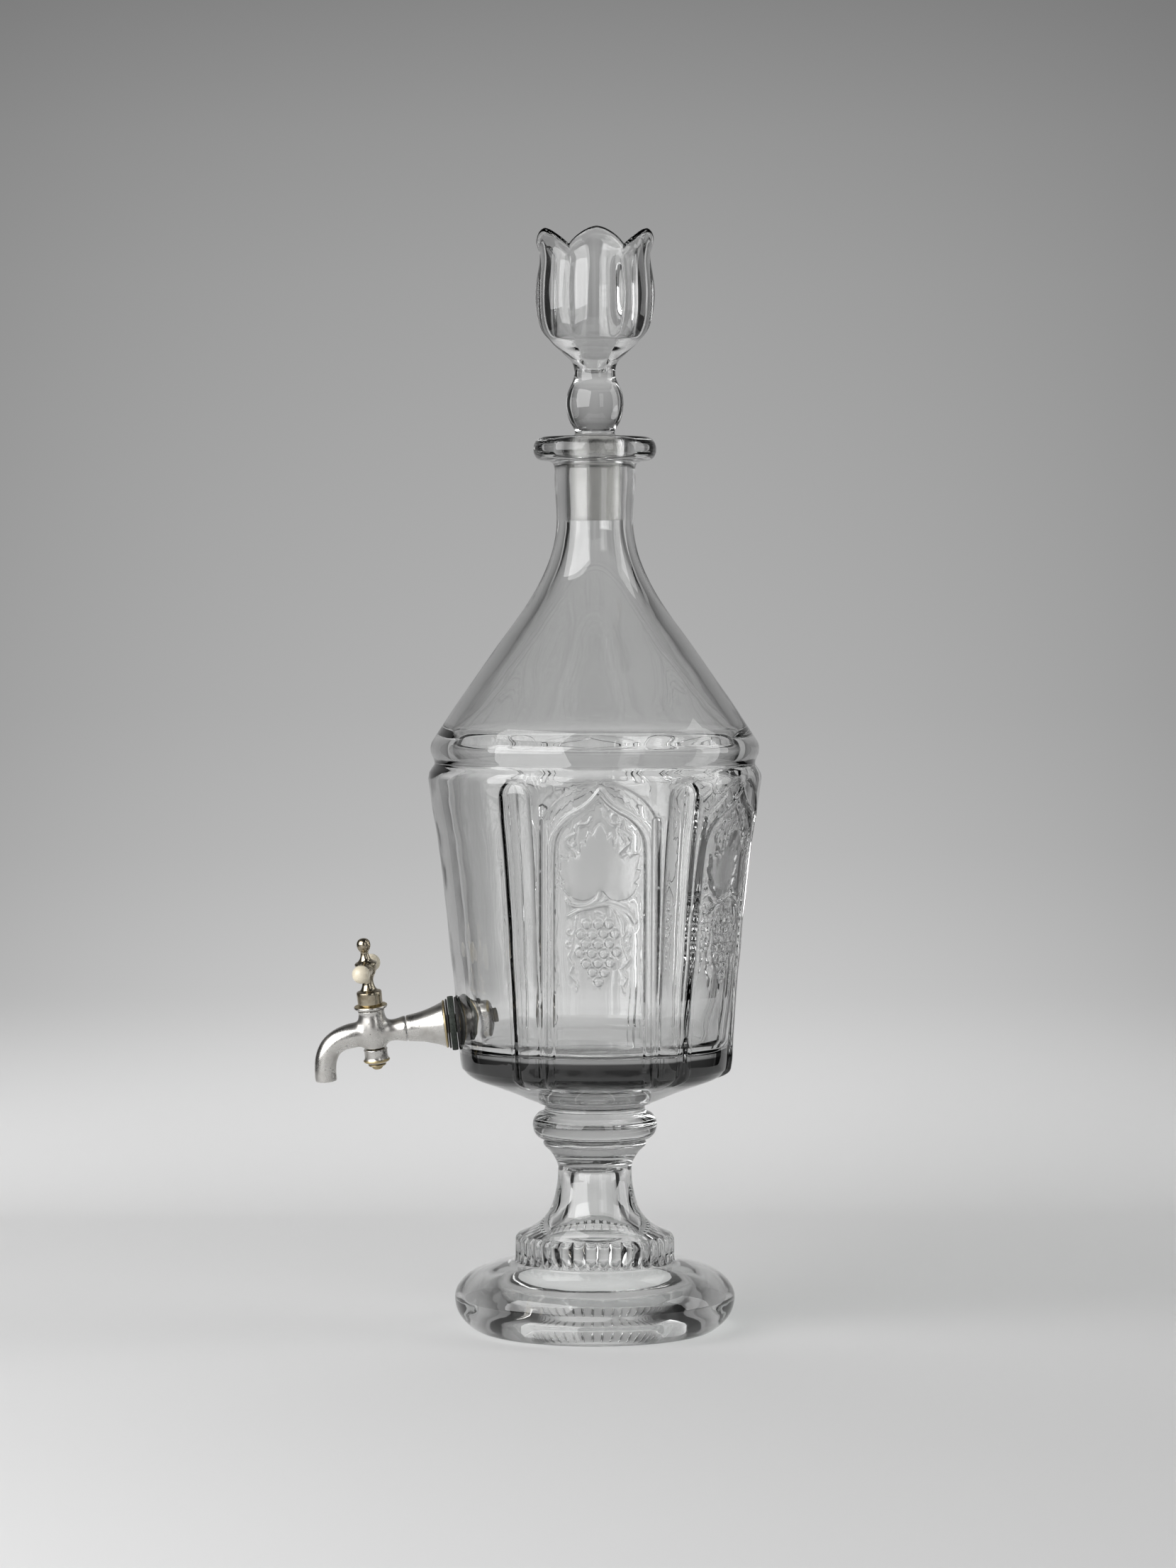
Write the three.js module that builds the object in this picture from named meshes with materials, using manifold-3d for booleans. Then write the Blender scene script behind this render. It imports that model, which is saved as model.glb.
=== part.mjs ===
// Pressed glass wine urn: a footed vessel with arcaded walls, a tulip stopper and a plug cock tap.
// Millimetres, +Z up. The front panel faces -Y and the tap stands out towards -X.

import * as THREE from 'three';
import { mergeVertices } from 'three/addons/utils/BufferGeometryUtils.js';
import Module from 'manifold-3d';

const wasm = await Module();
wasm.setup();

const DEGREE = Math.PI / 180;

// Facets round each family of turned pieces
const BODY_SEGMENTS = 36;
const PEDESTAL_SEGMENTS = 30;
const TAP_SEGMENTS = 16;
const SMALL_SEGMENTS = 12;
const SHOULDER_STEPS = 5;

// Corners of a mesh nearer than this are one corner
const CORNER_MERGE = 1e-5;

// Pedestal: a domed foot, a toothed collar, a trumpet stem and a knop; drops are from its top
const FOOT_RING_RADIUS = 54.5;
const FOOT_RING_WIDTH = 3.5;
const FOOT_RING_DEPTH = 3;
const FOOT_RADIUS = 68;
const FOOT_WAIST_HEIGHT = 15.5;
const FOOT_HEIGHT = 32.4;
const COVE_WIDTH = 2.4;
const COVE_ROUND = 2;
const COLLAR_RADIUS = 38.6;
const COLLAR_HEIGHT = 12.2;
const COLLAR_TEETH = 40;
const TOOTH_DEPTH = 1.5;
const TOOTH_POINTS = 3;
const COLLAR_SINK = 2;
const COLLAR_BACKING = 1.5;
const STEM_RADIUS = 17.9;
const STEM_DROP = 31;
const STEM_SHOULDER_DROP = 22.8;
const STEP_RADIUS = 24.9;
const STEP_DROP = 17.1;
const STEP_THICKNESS = 3.1;
const KNOP_RADIUS = 30.2;
const KNOP_DROP = 6.6;
const KNOP_HALF_DEPTH = 6.6;
const KNOP_NECK_RADIUS = 24.4;
const PEDESTAL_HEIGHT = 106;
const FOOT_WALL = 9;
const FOOT_ROOF = 7;
const STEM_WALL = 6.4;
const STEM_BORE_TAPER = 2;
const STEM_BORE_DROP = 25.4;
const STEM_ROOT_INSET = 1.5 * TOOTH_DEPTH;
const STEM_ROOT_PULL = 0.65 * COLLAR_HEIGHT;
const STEM_TOP_PULL = 0.4;
const FOOT_EDGE_START = -62;
const DOME_START = 15;
const DOME_END = 80;
const KNOP_END = 70;

// Wafer of glass that joins the vessel to its pedestal
const WAFER_RADIUS = 27.4;
const WAFER_THICKNESS = 4.6;
const WAFER_EDGE = 0.7;

// Vessel: heights are measured up from its seat on the wafer
const RIM_RADIUS = 66.7;
const RIM_HEIGHT = 18.9;
const RIM_ROUND = 5;
const RIM_ROUND_START = -70;
const RIM_ROUND_END = -25;
const UNDERSIDE_DROP = 12;
const BEAD_RADIUS = 80.6;
const BEAD_HEIGHT = 157.8;
const WALL_FLARE = 4.9;
const WALL_STATIONS = [0, 0.45, 0.76, 1];
const GROOVE_DEPTH = 3.1;
const GROOVE_HEIGHT = 164;
const GROOVE_HALF_FLAT = 1;
const RING_RADIUS = 79.5;
const RING_HEIGHT = 173.2;
const RING_BAND = 4;
const VAULT_DROP = 2;
const CONE_START_RADIUS = 76.4;
const CONE_START_HEIGHT = 178.4;
const CONE_ANGLE = 124.2;
const CONE_PULL = 63;
const NECK_RADIUS = 18.5;
const NECK_START_HEIGHT = 281.4;
const NECK_PULL = 30;
const NECK_SWELL = 1.2;
const NECK_SWELL_DROP = 6;
const NECK_TOP_SWELL = 0.6 * NECK_SWELL;
const NECK_BAND_DROP = 4;
const LIP_RADIUS = 29.7;
const LIP_THICKNESS = 12.3;
const VESSEL_HEIGHT = 321.7;
const WALL = 9.5;
const NECK_WALL = 6.1;
const FLOOR_THICKNESS = 25.2;
const FLOOR_ROUND = 6;
const TAP_SIDE_RELIEF = 1.7;
const TAP_SIDE_HALF_ANGLE = 52;

// Arcade on the vessel: four arched panels at 60 degrees with a column at each side
const PANEL_STEP = 60;
const PANEL_COUNT = 4;
const ARCH_HALF_WIDTH = 28.6;
const ARCH_SPRING_HEIGHT = 130.6;
const ARCH_RISE = 27;
const ARCH_DEPTH = 0.9;
const OGEE_HALF_WIDTH = 23;
const OGEE_SPRING_HEIGHT = 125.5;
const OGEE_SHOULDER_HEIGHT = 146.2;
const OGEE_SHOULDER_HALF_WIDTH = 7.4;
const OGEE_TIP_HEIGHT = 153.4;
const OGEE_SHOULDER_GROWTH = 1.3;
const OGEE_TIP_GROWTH = 1.5;
const OGEE_SPRING_PULL = 0.55;
const OGEE_HAUNCH_PULL = 0.4;
const OGEE_HAUNCH_SHARE = 0.7;
const OGEE_SWEEP_SHARE = 0.4;
const OGEE_SWEEP_DROP = 1;
const MOULDING_WIDTH = 2.8;
const PANEL_DEPTH = 1.5;
const CHANNEL_TOP_HEIGHT = 141.5;
const CHANNEL_DEPTH = 2.2;
const COLUMN_TOP_HEIGHT = 157;
const COLUMN_TOP_HALF_WIDTH = 7.2;
const COLUMN_FOOT_HALF_WIDTH = 5.4;
const COLUMN_DEPTH = 1.8;
const COLUMN_GROOVE = 1;
const COLUMN_FACETS = 4;
const COLUMN_HEAD_STEPS = 2;
const COLUMN_HEAD_END = 85;

// Stopper: a ground plug, a solid knop and a hollow tulip of six petals; heights are from the lip
const PLUG_LENGTH = 40.5;
const PLUG_TOP_RADIUS = 13;
const PLUG_END_RADIUS = 12.2;
const PLUG_CLEARANCE = 0.25;
const STOPPER_WAIST_RADIUS = 9.7;
const STOPPER_KNOP_RADIUS = 13.9;
const STOPPER_KNOP_HEIGHT = 16.1;
const TULIP_WAIST_HEIGHT = 31.5;
const TULIP_RADIUS = 29;
const TULIP_BELLY_HEIGHT = 67.5;
const TULIP_THROAT_RADIUS = 26.4;
const TULIP_THROAT_HEIGHT = 87.5;
const TULIP_LIP_RADIUS = 28.6;
const TULIP_HEIGHT = 100.7;
const PETALS = 6;
const PETAL_POINTS = 6;
const PETAL_CREASE = 0.07;
const PETAL_NOTCH = 9.5;
const NOTCH_SWEEP = 2.2;
const CUP_RADIUS = 20.6;
const CUP_RIM_RADIUS = 25.4;
const CUP_FLOOR_HEIGHT = 30.2;
const CUP_FLOOR_RADIUS = 3.8;
const CUP_SHOULDER_HEIGHT = 54;

// Rings of the stopper from the plug up the outside and down into the cup:
// radius, height over the lip, share of the petals' crease and share of the notch between their tips
const PLUG_RINGS = [[PLUG_END_RADIUS, -PLUG_LENGTH, 0, 0], [PLUG_TOP_RADIUS, -2, 0, 0]];
const KNOP_RINGS = [
  [STOPPER_WAIST_RADIUS, 1.5, 0, 0],
  [STOPPER_KNOP_RADIUS - 2.6, 6.5, 0, 0],
  [STOPPER_KNOP_RADIUS - 0.5, 11.5, 0, 0],
  [STOPPER_KNOP_RADIUS, STOPPER_KNOP_HEIGHT, 0, 0],
  [STOPPER_KNOP_RADIUS - 1.2, STOPPER_KNOP_HEIGHT + 5.2, 0, 0],
  [STOPPER_WAIST_RADIUS + 0.2, TULIP_WAIST_HEIGHT, 0, 0],
];
const TULIP_RINGS = [
  [STOPPER_WAIST_RADIUS + 2.1, TULIP_WAIST_HEIGHT + 5.1, 0.3, 0],
  [TULIP_RADIUS * 0.61, TULIP_WAIST_HEIGHT + 10.3, 0.6, 0],
  [TULIP_RADIUS * 0.8, TULIP_WAIST_HEIGHT + 15.4, 0.9, 0],
  [TULIP_RADIUS * 0.91, TULIP_WAIST_HEIGHT + 20.6, 1, 0],
  [TULIP_RADIUS * 0.985, TULIP_BELLY_HEIGHT - 6, 1, 0],
  [TULIP_RADIUS, TULIP_BELLY_HEIGHT, 1, 0],
  [TULIP_RADIUS * 0.96, TULIP_BELLY_HEIGHT + 10.5, 1, 0],
  [TULIP_THROAT_RADIUS, TULIP_THROAT_HEIGHT, 1, 0.25],
  [TULIP_LIP_RADIUS, TULIP_HEIGHT - 1, 0.6, 1],
  [(TULIP_LIP_RADIUS + CUP_RIM_RADIUS) / 2, TULIP_HEIGHT, 0.6, 1],
];
const CUP_RINGS = [
  [CUP_RIM_RADIUS, TULIP_HEIGHT - 1.5, 0.6, 1],
  [CUP_RADIUS + 0.9, TULIP_THROAT_HEIGHT - 4, 0.5, 0.2],
  [CUP_RADIUS, TULIP_BELLY_HEIGHT, 0.3, 0],
  [CUP_RADIUS, CUP_SHOULDER_HEIGHT, 0.2, 0],
  [CUP_RADIUS * 0.52, CUP_FLOOR_HEIGHT + 11.2, 0, 0],
  [CUP_FLOOR_RADIUS, CUP_FLOOR_HEIGHT, 0, 0],
];

// Tap: its axis stands out from the wall, tips down a little and has rolled towards the front
const TAP_HEIGHT = 38.7;
const TAP_TILT = 6.3;
const TAP_ROLL = 7;
const TURNED_GAP = 0.3;
const SEAT_CLEARANCE = 0.5;
const SEAT_SINK = 0.4;
const INNER_SEAT_SINK = 0.6;
const SHANK_RADIUS = 4.8;
const SHANK_OVERHANG = 2.5;
const WATERWAY_RADIUS = 2.7;
const SEATING_WASHER_RADIUS = 12.5;
const SEATING_WASHER_THICKNESS = 1.9;
const GASKET_RADIUS = 13.2;
const GASKET_THICKNESS = 2.9;
const FLARE_WASHER_RADIUS = 12;
const FLARE_WASHER_THICKNESS = 0.9;
const INNER_WASHER_RADIUS = 10.8;
const INNER_WASHER_THICKNESS = 1.5;
const INNER_NUT_RADIUS = 9.4;
const INNER_NUT_THICKNESS = 5.6;
const NUT_FLAT = 8.2;
const FLARE_LENGTH = 19.4;
const FLARE_WIDE_RADIUS = 11.6;
const FLARE_NARROW_RADIUS = 6.3;
const FLARE_SWEEP = 2.1;
const FLARE_BELLY = 1.6;
const INLET_RADIUS = 5.2;
const BARREL_OFFSET = 16.2;
const BARREL_RADIUS = 6.1;
const BARREL_TOP = 13.4;
const BARREL_BOTTOM = 7.9;
const BARREL_FLANGE_RADIUS = 8.1;
const BARREL_FLANGE_THICKNESS = 1.1;
const SPOUT_ROOT_RADIUS = 5.9;
const SPOUT_END_RADIUS = 5.25;
const SPOUT_REACH = 25.4;
const SPOUT_BEND_RADIUS = 13.2;
const SPOUT_BEND_ANGLE = 84;
const SPOUT_DROP = 8.2;

// Key of the plug cock: heights are from the crossing of the barrel and the waterway
const KEY_REST_ANGLE = -10.8;
const KEY_TOP_RADIUS = 4.9;
const KEY_END_RADIUS = 4;
const KEY_CLEARANCE = 0.15;
const KEY_TAIL_RADIUS = 2.6;
const DRUM_RADIUS = 6.1;
const DRUM_HEIGHT = 6.6;
const HANDLE_NECK_RADIUS = 2.8;
const HANDLE_NECK_HEIGHT = 25;
const CROSS_HEIGHT = 31.5;
const HUB_RADIUS = 4.9;
const HUB_HALF_LENGTH = 8.2;
const BELL_RADIUS = 5.4;
const BELL_HEIGHT = 34.4;
const FINIAL_NECK_RADIUS = 1.9;
const FINIAL_NECK_HEIGHT = 39.6;
const FINIAL_RADIUS = 3.35;
const FINIAL_HEIGHT = 43.2;
const PIN_RADIUS = 1.1;
const KNOB_RADIUS = 4.37;
const KNOB_OFFSET = 13.2;
const KNOB_BORE_DEPTH = 5;
const CAP_TOP_RADIUS = 5.8;
const CAP_RADIUS = 6.4;
const CAP_HEIGHT = 5.8;
const CAP_CHAMFER = 1.4;
const KEY_WASHER_RADIUS = 4.3;
const KEY_WASHER_THICKNESS = 0.9;
const KEY_SCREW_RADIUS = 2.6;
const KEY_SCREW_HEIGHT = 1.6;
const KEY_SCREW_SHANK_RADIUS = 1.1;
const KEY_SCREW_SHANK_LENGTH = 5;
const SCREW_SLOT_WIDTH = 0.7;
const SCREW_SLOT_DEPTH = 0.8;

// How far a cutting shape runs past the glass or metal that it opens
const OVERCUT = 5;

// Heights of the stacked pieces above the table
const waferHeight = PEDESTAL_HEIGHT;
const vesselHeight = PEDESTAL_HEIGHT + WAFER_THICKNESS;
const mouthHeight = vesselHeight + VESSEL_HEIGHT;

/** A closed geometry as a solid, with shared corners merged and its faces turned outwards. */
function toSolid(geometry) {
  geometry.deleteAttribute('normal');
  geometry.deleteAttribute('uv');
  const merged = mergeVertices(geometry, CORNER_MERGE);
  const positions = merged.getAttribute('position').array;
  const corners = merged.getIndex().array;
  const triangles = [];
  let volume = 0;
  for (let i = 0; i < corners.length; i += 3) {
    const [a, b, c] = [corners[i], corners[i + 1], corners[i + 2]];
    if (a === b || b === c || c === a) continue;
    triangles.push([a, b, c]);
    const [p, q, r] = [a, b, c].map((k) => new THREE.Vector3().fromArray(positions, 3 * k));
    volume += p.dot(q.cross(r));
  }
  const facing = volume < 0 ? triangles.map(([a, b, c]) => [a, c, b]) : triangles;
  const mesh = new wasm.Mesh({
    numProp: 3,
    vertProperties: new Float32Array(positions),
    triVerts: new Uint32Array(facing.flat()),
  });
  return new wasm.Manifold(mesh);
}

/** A named mesh of a solid. */
function toMesh(name, solid, material) {
  const { vertProperties, triVerts } = solid.getMesh();
  const geometry = new THREE.BufferGeometry();
  geometry.setAttribute('position', new THREE.BufferAttribute(vertProperties, 3));
  geometry.setIndex(new THREE.BufferAttribute(triVerts, 1));
  geometry.computeVertexNormals();
  const mesh = new THREE.Mesh(geometry, material);
  mesh.name = name;
  return mesh;
}

/** A solid turned about Z from [radius, height] points that start and end on the axis, or close. */
function turned(points, segments) {
  const profile = points.map(([radius, height]) => new THREE.Vector2(Math.max(radius, 0), height));
  return toSolid(new THREE.LatheGeometry(profile, segments).rotateX(Math.PI / 2));
}

/** A solid turned about X from [radius, distance along X] points. */
function turnedAlongX(points, segments) {
  return turned(points, segments).rotate([0, 90, 0]);
}

/** A ring washer along X, from near to far. */
function washer(outer, bore, near, far, segments) {
  return turnedAlongX([[bore, near], [outer, near], [outer, far], [bore, far], [bore, near]], segments);
}

/** A solid skinned over rings of equal numbers of points, closed by a fan at each end or on itself. */
function skinned(rings, closedOnItself = false) {
  const count = rings[0].length;
  const middle = (ring) => ring
    .reduce((sum, point) => sum.add(point), new THREE.Vector3())
    .divideScalar(count);
  const triangles = [];
  const firstMiddle = rings.length * count;
  const last = firstMiddle - count;
  for (let i = 0; i < count; i += 1) {
    const j = (i + 1) % count;
    for (let k = 0; k < rings.length - (closedOnItself ? 0 : 1); k += 1) {
      const [low, high] = [k * count, ((k + 1) % rings.length) * count];
      triangles.push(low + i, low + j, high + j, low + i, high + j, high + i);
    }
    if (!closedOnItself) triangles.push(firstMiddle, j, i, firstMiddle + 1, last + i, last + j);
  }
  const ends = closedOnItself ? [] : [middle(rings[0]), middle(rings[rings.length - 1])];
  const geometry = new THREE.BufferGeometry().setFromPoints([...rings.flat(), ...ends]);
  geometry.setIndex(triangles);
  return toSolid(geometry);
}

/** Points of an arc in a [radius, height] profile, in degrees from the outward direction. */
function arc(radius, height, size, from, to, steps, depth = size) {
  return Array.from({ length: steps + 1 }, (_, i) => {
    const angle = (from + ((to - from) * i) / steps) * DEGREE;
    return [radius + size * Math.cos(angle), height + depth * Math.sin(angle)];
  });
}

/** Outer radius of the vessel's wall over its ribs at a height above the seat. */
function crestRadius(height) {
  const share = THREE.MathUtils.clamp((height - RIM_HEIGHT) / (BEAD_HEIGHT - RIM_HEIGHT), 0, 1);
  const straight = BEAD_RADIUS - RIM_RADIUS - WALL_FLARE;
  return RIM_RADIUS + straight * share + WALL_FLARE * share ** 3;
}

/** Outer radius of the smooth wall on the tap's side, which tapers a little more. */
function plainRadius(height) {
  const share = THREE.MathUtils.clamp((height - RIM_HEIGHT) / (BEAD_HEIGHT - RIM_HEIGHT), 0, 1);
  return crestRadius(height) - TAP_SIDE_RELIEF * (1 - share) ** 2;
}

/** Heights that sample the wall from the base rim to the bead, closer together where it flares. */
function wallHeights() {
  return WALL_STATIONS.map((share) => THREE.MathUtils.lerp(RIM_HEIGHT, BEAD_HEIGHT, share));
}

/** The shoulder's sweep from the ring to the neck, as a curve of radius and height. */
function shoulderCurve() {
  const start = new THREE.Vector2(CONE_START_RADIUS, CONE_START_HEIGHT);
  const end = new THREE.Vector2(NECK_RADIUS, NECK_START_HEIGHT);
  const along = new THREE.Vector2(Math.cos(CONE_ANGLE * DEGREE), Math.sin(CONE_ANGLE * DEGREE));
  return new THREE.CubicBezierCurve(
    start,
    start.clone().addScaledVector(along, CONE_PULL),
    end.clone().add(new THREE.Vector2(0, -NECK_PULL)),
    end,
  );
}

/** Points of the shoulder moved into the glass by a thickness. */
function shoulderPoints(steps, thickness) {
  const curve = shoulderCurve();
  return Array.from({ length: steps + 1 }, (_, i) => {
    const point = curve.getPoint(i / steps);
    const tangent = curve.getTangent(i / steps);
    return [point.x - tangent.y * thickness, point.y + tangent.x * thickness];
  });
}

/** Profile from the seat round the base rim, moved into the glass by a depth. */
function baseProfile(depth) {
  const corner = RIM_RADIUS - RIM_ROUND - depth;
  return [
    [0, 0],
    [WAFER_RADIUS, 0],
    [corner, UNDERSIDE_DROP],
    ...arc(corner, RIM_HEIGHT, RIM_ROUND, RIM_ROUND_START, RIM_ROUND_END, 2,
      RIM_HEIGHT - UNDERSIDE_DROP),
  ];
}

/** The space inside a wall of given radius, up to the bead, which a shallow cut must spare. */
function wallCore(radiusAt, depth) {
  const heights = wallHeights();
  const top = BEAD_HEIGHT + OVERCUT;
  return turned([
    ...baseProfile(depth),
    ...heights.map((height) => [radiusAt(height) - depth, height]),
    [radiusAt(BEAD_HEIGHT) - depth, top],
    [0, top],
  ], BODY_SEGMENTS);
}

/** A prism of an outline in [across, height], run outwards through the wall at an azimuth. */
function wallPrism(outline, azimuth, curveSegments = 4) {
  const inner = RIM_RADIUS / 2;
  const outer = BEAD_RADIUS + OVERCUT;
  const prism = new THREE.ExtrudeGeometry(outline, { depth: outer - inner, bevelEnabled: false, curveSegments });
  prism.rotateX(Math.PI / 2).translate(0, -inner, 0).rotateZ(azimuth * DEGREE);
  return toSolid(prism);
}

/** An outline that runs below the base and closes on top with half an ellipse. */
function roundTopped(centre, halfWidth, spring, rise) {
  const outline = new THREE.Shape();
  outline.moveTo(centre - halfWidth, -OVERCUT);
  outline.lineTo(centre + halfWidth, -OVERCUT);
  outline.lineTo(centre + halfWidth, spring);
  outline.absellipse(centre, spring, halfWidth, rise, 0, Math.PI, false);
  outline.closePath();
  return outline;
}

/** The ogee of a panel, grown or shrunk by half the moulding's width. */
function ogee(growth) {
  const halfWidth = OGEE_HALF_WIDTH + growth;
  const shoulder = OGEE_SHOULDER_HALF_WIDTH;
  const shoulderHeight = OGEE_SHOULDER_HEIGHT + growth * OGEE_SHOULDER_GROWTH;
  const tip = OGEE_TIP_HEIGHT + growth * OGEE_TIP_GROWTH;
  const pull = (shoulderHeight - OGEE_SPRING_HEIGHT) * OGEE_SPRING_PULL;
  const haunch = [halfWidth * OGEE_HAUNCH_SHARE, shoulderHeight - pull * OGEE_HAUNCH_PULL];
  const sweep = [shoulder * OGEE_SWEEP_SHARE, (shoulderHeight + tip) / 2 - OGEE_SWEEP_DROP];
  const outline = new THREE.Shape();
  outline.moveTo(-halfWidth, -OVERCUT);
  outline.lineTo(halfWidth, -OVERCUT);
  outline.lineTo(halfWidth, OGEE_SPRING_HEIGHT);
  outline.bezierCurveTo(halfWidth, OGEE_SPRING_HEIGHT + pull, ...haunch, shoulder, shoulderHeight);
  outline.quadraticCurveTo(...sweep, 0, tip);
  outline.quadraticCurveTo(-sweep[0], sweep[1], -shoulder, shoulderHeight);
  outline.bezierCurveTo(-haunch[0], haunch[1], -halfWidth, OGEE_SPRING_HEIGHT + pull,
    -halfWidth, OGEE_SPRING_HEIGHT);
  outline.closePath();
  return outline;
}

/** A half-round column that follows the wall and has a domed head, at an azimuth. */
function column(azimuth) {
  const springHeight = COLUMN_TOP_HEIGHT - COLUMN_TOP_HALF_WIDTH;
  const shaft = wallHeights().filter((height) => height < springHeight);
  const head = Array.from({ length: COLUMN_HEAD_STEPS + 1 },
    (_, i) => (i * COLUMN_HEAD_END * DEGREE) / COLUMN_HEAD_STEPS);
  const section = (height, halfWidth, depth) => {
    const back = -(crestRadius(height) - COLUMN_DEPTH - OVERCUT);
    const face = Array.from({ length: COLUMN_FACETS + 1 }, (_, i) => {
      const angle = Math.PI - (Math.PI * i) / COLUMN_FACETS;
      const lift = COLUMN_DEPTH - depth * (1 - Math.sin(angle));
      return new THREE.Vector3(halfWidth * Math.cos(angle), -(crestRadius(height) - COLUMN_DEPTH + lift), height);
    });
    return [...face, new THREE.Vector3(halfWidth, back, height), new THREE.Vector3(-halfWidth, back, height)];
  };
  const widthAt = (height) => THREE.MathUtils.mapLinear(height, 0, springHeight,
    COLUMN_FOOT_HALF_WIDTH, COLUMN_TOP_HALF_WIDTH);
  const rings = [
    section(-OVERCUT, widthAt(0), COLUMN_DEPTH),
    ...shaft.map((height) => section(height, widthAt(height), COLUMN_DEPTH)),
    ...head.map((angle) => section(springHeight + COLUMN_TOP_HALF_WIDTH * Math.sin(angle),
      COLUMN_TOP_HALF_WIDTH * Math.cos(angle), COLUMN_DEPTH)),
  ];
  return skinned(rings).rotate([0, 0, azimuth]);
}

/** The pressed relief of one panel: arch, ogee moulding and its two side channels, as a cut. */
function panelCut(azimuth, cores) {
  const mouldingEdge = OGEE_HALF_WIDTH + MOULDING_WIDTH / 2;
  const channelCentre = (ARCH_HALF_WIDTH + mouldingEdge) / 2;
  const channelHalfWidth = (ARCH_HALF_WIDTH - mouldingEdge) / 2;
  const field = wallPrism(roundTopped(0, ARCH_HALF_WIDTH, ARCH_SPRING_HEIGHT, ARCH_RISE), azimuth)
    .subtract(wallPrism(ogee(MOULDING_WIDTH / 2), azimuth, 3))
    .subtract(cores.arch);
  const panel = wallPrism(ogee(-MOULDING_WIDTH / 2), azimuth, 3).subtract(cores.panel);
  const channels = [-1, 1].map((side) => wallPrism(roundTopped(side * channelCentre, channelHalfWidth,
    CHANNEL_TOP_HEIGHT - channelHalfWidth, channelHalfWidth), azimuth, 2).subtract(cores.channel));
  return wasm.Manifold.union([field, panel, ...channels]);
}

/** The groove round one column, as a cut that leaves the column standing. */
function columnCut(azimuth, cores) {
  const halfWidth = COLUMN_TOP_HALF_WIDTH + COLUMN_GROOVE;
  const outline = roundTopped(0, halfWidth, COLUMN_TOP_HEIGHT - COLUMN_TOP_HALF_WIDTH, halfWidth);
  return wallPrism(outline, azimuth, 3).subtract(cores.column).subtract(column(azimuth));
}

/** Wedge of the wall that faces the tap, where the glass is smooth. */
function tapSideCut() {
  const reach = BEAD_RADIUS + OVERCUT;
  const sector = new THREE.Shape();
  sector.moveTo(0, 0);
  sector.absarc(0, 0, reach, (180 - TAP_SIDE_HALF_ANGLE) * DEGREE, (180 + TAP_SIDE_HALF_ANGLE) * DEGREE, false);
  sector.closePath();
  const wedge = new THREE.ExtrudeGeometry(sector, { depth: BEAD_HEIGHT + OVERCUT, bevelEnabled: false });
  return toSolid(wedge.translate(0, 0, -OVERCUT)).subtract(wallCore(plainRadius, 0));
}

// Where the tap meets the wall: flat seats are ground outside and inside round the hole
const tapOuterRadius = plainRadius(TAP_HEIGHT);
const seatRadius = GASKET_RADIUS + SEAT_CLEARANCE;
const seatDistance = Math.sqrt(tapOuterRadius ** 2 - seatRadius ** 2) - SEAT_SINK;
const glassAtTap = seatDistance - (tapOuterRadius - WALL) - INNER_SEAT_SINK;

/** Turns a solid from the tap's frame to the vessel's frame. */
function fromTapFrame(solid) {
  return solid.rotate([0, TAP_TILT, 0]).rotate([0, 0, 180]).translate([-seatDistance, 0, TAP_HEIGHT]);
}

/** A cylinder along X from near to far. */
function rodAlongX(radius, near, far, segments) {
  return turnedAlongX([[0, near], [radius, near], [radius, far], [0, far]], segments);
}

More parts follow.
